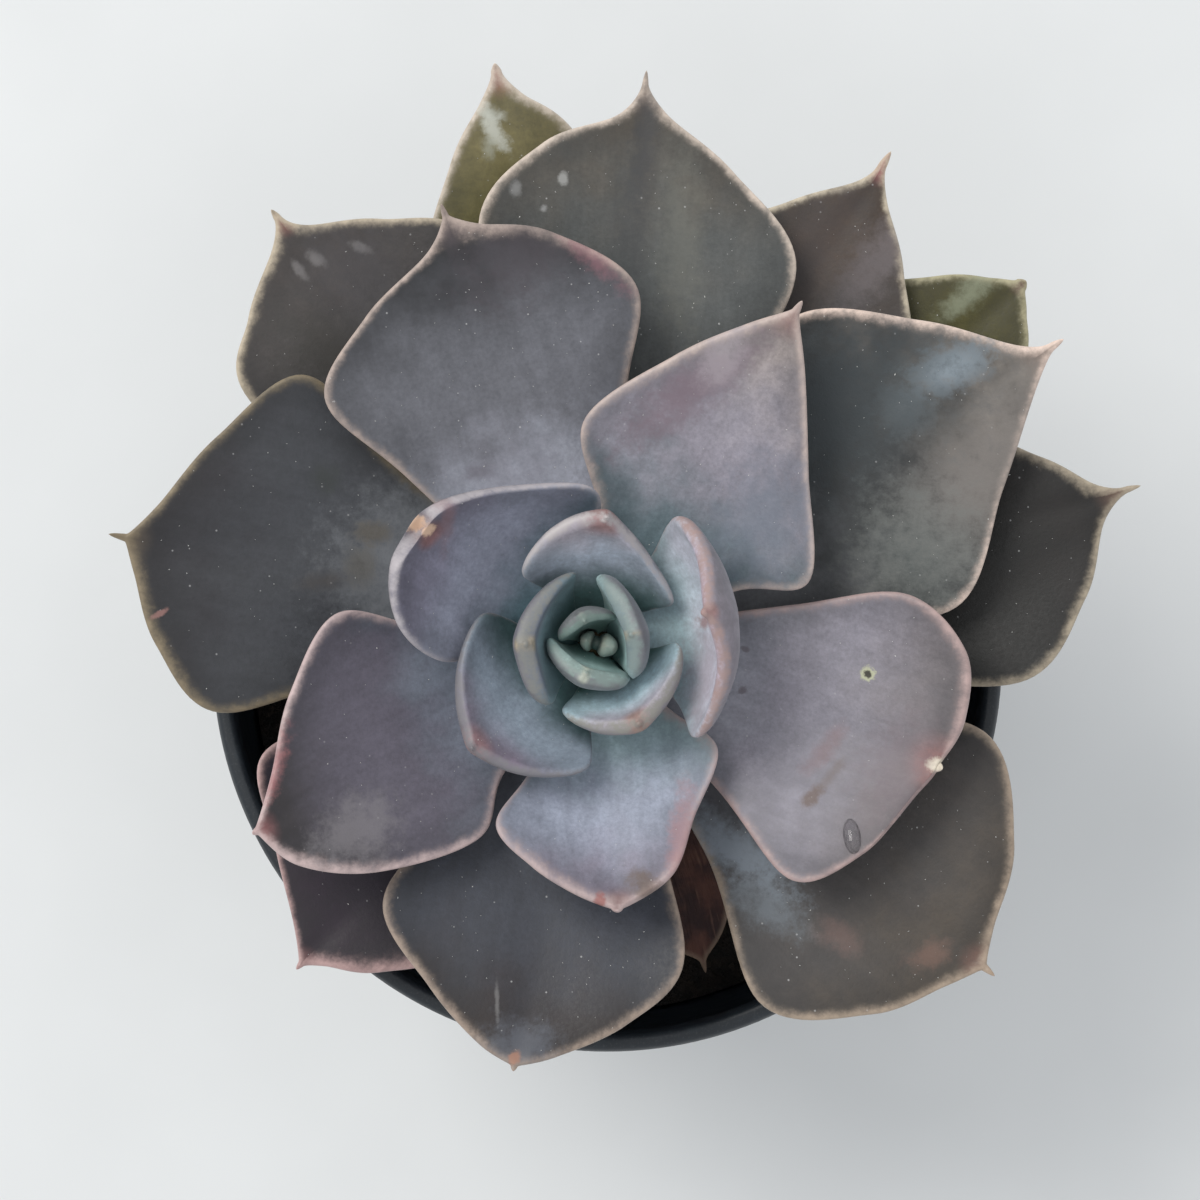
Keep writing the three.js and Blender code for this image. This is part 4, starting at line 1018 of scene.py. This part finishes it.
for bud in buds:
    bud.update(joins=stemLook["top"] - heartLook["sunk"], wave=0, crease=0.06)


def heartBody(name, grow):
    core = heartLook["core"] + grow
    middle = (rosette["x"], rosette["y"], stemLook["top"] - heartLook["sunk"] + heartLook["core"])
    body = turnProfile(name, ballProfile(17, core), 24, middle, stemFinish)
    turnOutwards(body)
    leaves = [leafPiece("bud", bud, grow, 24 if grow == 0 else 12, 9) for bud in buds]
    for leaf in leaves:
        turnOutwards(leaf)
    surfaces = [(*meshSurface(leaf.data), {label: meshValues(leaf.data, label) for label in leafLabels})
                for leaf in leaves]
    combine(body, leaves, "UNION")
    for leaf in leaves:
        bpy.data.objects.remove(leaf)
    for label in leafLabels:
        if body.data.attributes.get(label):
            body.data.attributes.remove(body.data.attributes[label])
        layer = body.data.attributes.new(label, "FLOAT", "POINT")
        for vertex in body.data.vertices:
            surface, corners, known = min(surfaces, key=lambda s: s[0].find_nearest(vertex.co)[3])
            ring = list(corners[surface.find_nearest(vertex.co)[2]])
            layer.data[vertex.index].value = float(known[label][ring].mean())
    return body


for order, row in enumerate(leafRows, 1):
    row["joins"] = rosette["firstBase"] - rosette["baseStep"] * (order - 1)
    row["out"] = min(stemLook["radius"] + rosette["clearance"],
                     rosette["firstOut"] + rosette["outStep"] * order)
heartPiece = heartBody("heart_body", 0)
cutWith(heartPiece, stemCutter)
dress(heartPiece, leafMaterial("heartSkin", heartLook))
heartPiece.data.shade_smooth()
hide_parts("heart")
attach(heartPiece, "root")

# Leaves, each cut back where a younger one already is
heartCutter = heartBody("heart_cutter", rosette["clearance"])
turnOutwards(heartCutter)
leafCutters = []
for order, row in enumerate(leafRows, 1):
    cutter = leafPiece(f"cutter_{order}", row, rosette["clearance"], 40, 7)
    turnOutwards(cutter)
    leafCutters.append(cutter)
leafPieces = []
for order, row in enumerate(leafRows, 1):
    name = f"leaf_{order:02d}"
    leaf = leafPiece(f"{name}_skin", row)
    turnOutwards(leaf)
    younger = leafCutters[max(0, order - 1 - rosette["reach"]):order - 1]
    cutBack(leaf, [stemCutter, heartCutter, *younger])
    dress(leaf, leafMaterial(f"{name}_wax", row))
    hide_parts(name)
    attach(leaf, "root")
    leafPieces.append(leaf)
print("leaves made,", sum(len(leaf.data.polygons) for leaf in leafPieces), "faces")

# Withered leaf
witheredRow = dict(
    azimuth=292, length=41, tilt=(4, -14), claw=3, body=1, lift=(4, 3), sway=-3, joins=83,
    wave=0.5, crease=0.5,
    out=stemLook["radius"] + rosette["clearance"],
    left=((12, 5), (26, 7.4), (36, 4.6)), right=((12, 5), (26, 6.6), (36, 4.4)), spur=(1.4, 0.4, 0))
paper = {
    "dark": (52, 33, 33), "brown": (94, 61, 52), "vein": (140, 106, 90), "rim": (150, 130, 112),
    "veinStretch": 0.12, "roughness": 0.8, "relief": 0.7,
}
paperFinish, tree, shader = makeMaterial("driedLeaf")
vein = addMath(tree, "MULTIPLY", addAttribute(tree, "along"), paper["veinStretch"])
vein = addNoise(tree, addPoint(tree, vein, addAttribute(tree, "aside")), 1.1, 3.0, 0.6)
blotch = addNoise(tree, objectPlace(tree), 0.2, 3.0, 0.6)
colour = addMix(tree, addRange(tree, blotch, 0.35, 0.65), screen(*paper["dark"]), screen(*paper["brown"]))
colour = addMix(tree, addRange(tree, vein, 0.55, 0.75, 0.0, 0.6), colour, screen(*paper["vein"]))
nearRim = addRange(tree, addAttribute(tree, "rim"), 1.0, 0.1, 0.0, 0.6)
colour = addMix(tree, nearRim, colour, screen(*paper["rim"]))
tree.links.new(colour, shader.inputs["Base Color"])
shader.inputs["Roughness"].default_value = paper["roughness"]
tree.links.new(addBump(tree, vein, paper["relief"]), shader.inputs["Normal"])
witheredPiece = leafPiece("withered_skin", witheredRow)
turnOutwards(witheredPiece)
cutBack(witheredPiece, [stemCutter])
dress(witheredPiece, paperFinish)
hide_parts("withered_leaf")
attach(witheredPiece, "root")

for cutter in [stemCutter, heartCutter, *leafCutters]:
    bpy.data.objects.remove(cutter)

# Shed leaf on the soil
shed = {
    "azimuth": 289, "reach": 43.5, "size": (4.6, 2.6, 1.5), "turn": 25, "rings": 24, "segments": 36,
    "groove": 0.12, "taper": 0.12, "green": (112, 118, 92), "pale": (150, 154, 126), "roughness": 0.55,
}
shedFinish, tree, shader = makeMaterial("shedLeafSkin")
place = objectPlace(tree)
tone = addNoise(tree, place, 0.5, 3.0, 0.6)
colour = addMix(tree, addRange(tree, tone, 0.35, 0.65), screen(*shed["green"]), screen(*shed["pale"]))
tree.links.new(colour, shader.inputs["Base Color"])
shader.inputs["Roughness"].default_value = shed["roughness"]
tree.links.new(addBump(tree, addNoise(tree, place, 2.2, 3.0, 0.6), 0.15), shader.inputs["Normal"])
shedX = rosette["x"] + shed["reach"] * math.cos(math.radians(shed["azimuth"]))
shedY = rosette["y"] + shed["reach"] * math.sin(math.radians(shed["azimuth"]))
shedZ = float(soilHeight(shedX, shedY)) + shed["size"][2] / 2 + rosette["clearance"]
shedPiece = turnProfile("shed_leaf_skin", ballProfile(shed["rings"]), shed["segments"], (0, 0, 0), shedFinish)
places = meshPoints(shedPiece.data)
places[:, 2] -= shed["groove"] * np.exp(-(places[:, 1] / 0.3) ** 2) * np.maximum(places[:, 2], 0)
places[:, :2] *= 1 - shed["taper"] * places[:, :1]  # thinner at one end
places *= np.array(shed["size"]) / 2
places = places @ np.array(Matrix.Rotation(math.radians(shed["turn"]), 3, "Z")).T + (shedX, shedY, shedZ)
movePoints(shedPiece.data, places)
turnOutwards(shedPiece)
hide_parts("shed_leaf")
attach(shedPiece, "root")
print("withered and shed leaf made")

# Small angular grains scattered over a surface
scatterTree, scatterIn, scatterOut = makeGroup("scatteredGrains", "GeometryNodeTree", [
    ("Ground", geometryKind, None), ("Density", floatKind, 1), ("Least", vectorKind, (1, 1, 1)),
    ("Most", vectorKind, (1, 1, 1)), ("Tumble", floatKind, 3),
    ("Corners", wholeKind, 11), ("Seed", wholeKind, 1),
    ("Finish", materialKind, None)], geometryOut)


def addRandom(tree, low, high, seed, kind="FLOAT"):
    first, last, output = (0, 1, 0) if kind == "FLOAT_VECTOR" else (2, 3, 1)
    inputs = {first: low, last: high, "Seed": seed}
    return addNode(tree, "FunctionNodeRandomValue", inputs, data_type=kind).outputs[output]


spread = addNode(scatterTree, "GeometryNodeInputNamedAttribute", {"Name": "spread"}, data_type="FLOAT")
spread = spread.outputs[0]
spots = addNode(scatterTree, "GeometryNodeDistributePointsOnFaces", {
    "Mesh": scatterIn["Ground"], "Density": addMath(scatterTree, "MULTIPLY", spread, scatterIn["Density"]),
    "Seed": scatterIn["Seed"]}).outputs["Points"]
corners = addNode(scatterTree, "GeometryNodePoints", {
    "Count": scatterIn["Corners"],
    "Position": addRandom(scatterTree, (-1, -1, -1), (1, 1, 1), scatterIn["Seed"], "FLOAT_VECTOR")}).outputs[0]
chip = addNode(scatterTree, "GeometryNodeConvexHull", {"Geometry": corners}).outputs[0]
sizes = addRandom(scatterTree, scatterIn["Least"], scatterIn["Most"], 5, "FLOAT_VECTOR")
lean = addPoint(scatterTree, scatterIn["Tumble"], scatterIn["Tumble"], 2 * math.pi)
chips = addNode(scatterTree, "GeometryNodeInstanceOnPoints", {
    "Points": spots, "Instance": chip, "Scale": sizes,
    "Rotation": addRandom(scatterTree, (0, 0, 0), lean, 6, "FLOAT_VECTOR")}).outputs[0]
chips = addNode(scatterTree, "GeometryNodeStoreNamedAttribute", {
    "Geometry": chips, "Name": "shade", "Value": addRandom(scatterTree, 0.0, 1.0, 7)},
    data_type="FLOAT", domain="INSTANCE").outputs[0]
endTree(scatterTree, chips, scatterIn, scatterOut)


def scatter(name, ground, finish, values):  # ground: points in mm, faces, and each point's spread
    points, faces, spreads = ground
    piece = makePiece(name, points, faces, {"spread": spreads})
    dress(piece, finish)
    growTree(piece, scatterTree, {
        "Density": values["density"] / mm ** 2, "Least": tuple(c * mm for c in values["least"]),
        "Most": tuple(c * mm for c in values["most"]), "Tumble": values["tumble"],
        "Corners": values["corners"], "Seed": values["seed"], "Finish": finish})
    turnOutwards(piece, 20)
    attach(piece, "root")
    print(name, "made,", len(piece.data.polygons), "faces")


def upperPart(mesh, keepFace):  # the points and faces of a mesh that pass the test
    points = meshPoints(mesh)
    faces = [tuple(p.vertices) for p in mesh.polygons if keepFace(p, points)]
    used = sorted({k for face in faces for k in face})
    where = {old: new for new, old in enumerate(used)}
    return points[used], [tuple(where[k] for k in face) for face in faces]


def onSoilTop(polygon, points):
    centre = points[list(polygon.vertices)].mean(0)
    fromAxis = math.hypot(centre[0], centre[1])
    fromStem = math.hypot(centre[0] - rosette["x"], centre[1] - rosette["y"])
    return polygon.normal.z > 0.5 and centre[2] > soil["top"] - 2.5 and fromAxis < 46.8 and fromStem > 8


grit = {
    "density": 0.28, "least": (0.4, 0.3, 0.2), "most": (1.6, 1.1, 0.7),  # per square mm, half lengths
    "tumble": 0.9, "corners": 12, "seed": 3,
}
fibres = {
    "density": 0.035, "least": (1.2, 0.07, 0.06), "most": (3.6, 0.16, 0.14),
    "tumble": 0.25, "corners": 14, "seed": 8,
}
topPoints, topFaces = upperPart(soilPiece.data, onSoilTop)
soilTop = (topPoints, topFaces, np.ones(len(topPoints)))
scatter("soil_grit", soilTop, soilFinish, grit)
scatter("soil_fibres", soilTop, soilFinish, fibres)

# Loose grains of wax and dust on the leaves
waxGrains = {
    "density": 0.11, "least": (0.04, 0.04, 0.03), "most": (0.17, 0.12, 0.08), "tumble": 6.2, "corners": 9,
    "seed": 21, "grey": (160, 160, 158), "pale": (214, 214, 210), "roughness": 0.7,
}
grainFinish, tree, shader = makeMaterial("waxGrain")
colour = addMix(tree, addAttribute(tree, "shade"), screen(*waxGrains["grey"]), screen(*waxGrains["pale"]))
tree.links.new(colour, shader.inputs["Base Color"])
shader.inputs["Roughness"].default_value = waxGrains["roughness"]
allPoints, allFaces, allSpreads = [], [], []
for row, leaf in zip(leafRows, leafPieces):
    upper, rim = meshValues(leaf.data, "upper"), meshValues(leaf.data, "rim")

    def onSkin(polygon, points):
        ring = list(polygon.vertices)
        return polygon.normal.z > 0.2 and upper[ring].min() > 0.8 and rim[ring].min() > 0.4

    points, faces = upperPart(leaf.data, onSkin)
    start = sum(len(part) for part in allPoints)
    allPoints.append(points)
    allFaces += [tuple(k + start for k in face) for face in faces]
    allSpreads.append(np.full(len(points), row.get("dust", leafLook["dust"])))
grownSkin = (np.vstack(allPoints), allFaces, np.concatenate(allSpreads))
scatter("wax_grains", grownSkin, grainFinish, waxGrains)

# Drop of water at the margin of leaf 13
drop = {
    "leaf": 13, "along": 35.2, "aside": -11.7, "halfSize": (2.3, 1.1, 0.8), "turn": 60, "sunk": 0.25,
    "rings": 21, "segments": 40,
}
water, tree, shader = makeMaterial("waterDrop")
shader.inputs["Base Color"].default_value = (1, 1, 1, 1)
shader.inputs["Roughness"].default_value = 0.02
shader.inputs["IOR"].default_value = 1.33
shader.inputs["Transmission Weight"].default_value = 1
leaf = leafPieces[drop["leaf"] - 1].data
along, aside, upper = (meshValues(leaf, label) for label in ("along", "aside", "upper"))
nearest = int(np.argmin(np.hypot(along - drop["along"], aside - drop["aside"]) + 9 * (upper < 0.8)))
dropPlace, dropUp = meshPoints(leaf)[nearest], leaf.vertices[nearest].normal
profile = ballProfile(drop["rings"], sunk=drop["sunk"])
dropPiece = turnProfile("water_drop", profile, drop["segments"], (0, 0, 0), water)
lay = dropUp.to_track_quat("Z", "Y").to_matrix() @ Matrix.Rotation(math.radians(drop["turn"]), 3, "Z")
places = (meshPoints(dropPiece.data) * np.array(drop["halfSize"])) @ np.array(lay).T + dropPlace
movePoints(dropPiece.data, places)
turnOutwards(dropPiece)
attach(dropPiece, "root")

# Plain floor, soft light and the camera straight above
studio = {
    "floor": (219, 221, 222), "floorClouds": (223, 225, 226), "floorRoughness": 0.75, "floorHalf": 900,
    "sky": (240, 242, 244), "skyStrength": 0.9,
    "cameraPlace": (-0.96, 7.56, 508), "cameraLens": 95.09, "cameraSensor": 36,
}
floorFinish, tree, shader = makeMaterial("paleGround")
grainy = addNoise(tree, objectPlace(tree), 0.02, 3.0, 0.5)
clouded = addRange(tree, grainy, 0.3, 0.7)
colour = addMix(tree, clouded, screen(*studio["floor"]), screen(*studio["floorClouds"]))
tree.links.new(colour, shader.inputs["Base Color"])
shader.inputs["Roughness"].default_value = studio["floorRoughness"]
half = studio["floorHalf"]
corners = [(-half, -half, 0), (half, -half, 0), (half, half, 0), (-half, half, 0)]
ground = makePiece("ground", corners, [(0, 1, 2, 3)])
ground.data.materials.append(floorFinish)

world = bpy.data.worlds.new("softSky")
world.use_nodes = True
bpy.context.scene.world = world
sky = world.node_tree.nodes["Background"]
sky.inputs["Color"].default_value = screen(*studio["sky"])
sky.inputs["Strength"].default_value = studio["skyStrength"]
lamp = {"place": (-700, 620, 1250), "size": 800, "power": 12, "colour": (255, 253, 248)}
light = bpy.data.lights.new("window", "AREA")
light.shape, light.size = "DISK", lamp["size"] * mm
light.energy, light.color = lamp["power"], screen(*lamp["colour"])[:3]
lightPiece = bpy.data.objects.new("window", light)
lightPiece.location = [c * mm for c in lamp["place"]]
lightPiece.rotation_euler = (Vector((0, 0, 0.1)) - lightPiece.location).to_track_quat("-Z", "Y").to_euler()
bpy.context.scene.collection.objects.link(lightPiece)

lens = bpy.data.cameras.new("overhead")
lens.lens, lens.sensor_width = studio["cameraLens"], studio["cameraSensor"]
overhead = bpy.data.objects.new("overhead", lens)
overhead.location = [c * mm for c in studio["cameraPlace"]]
bpy.context.scene.collection.objects.link(overhead)
bpy.context.scene.camera = overhead
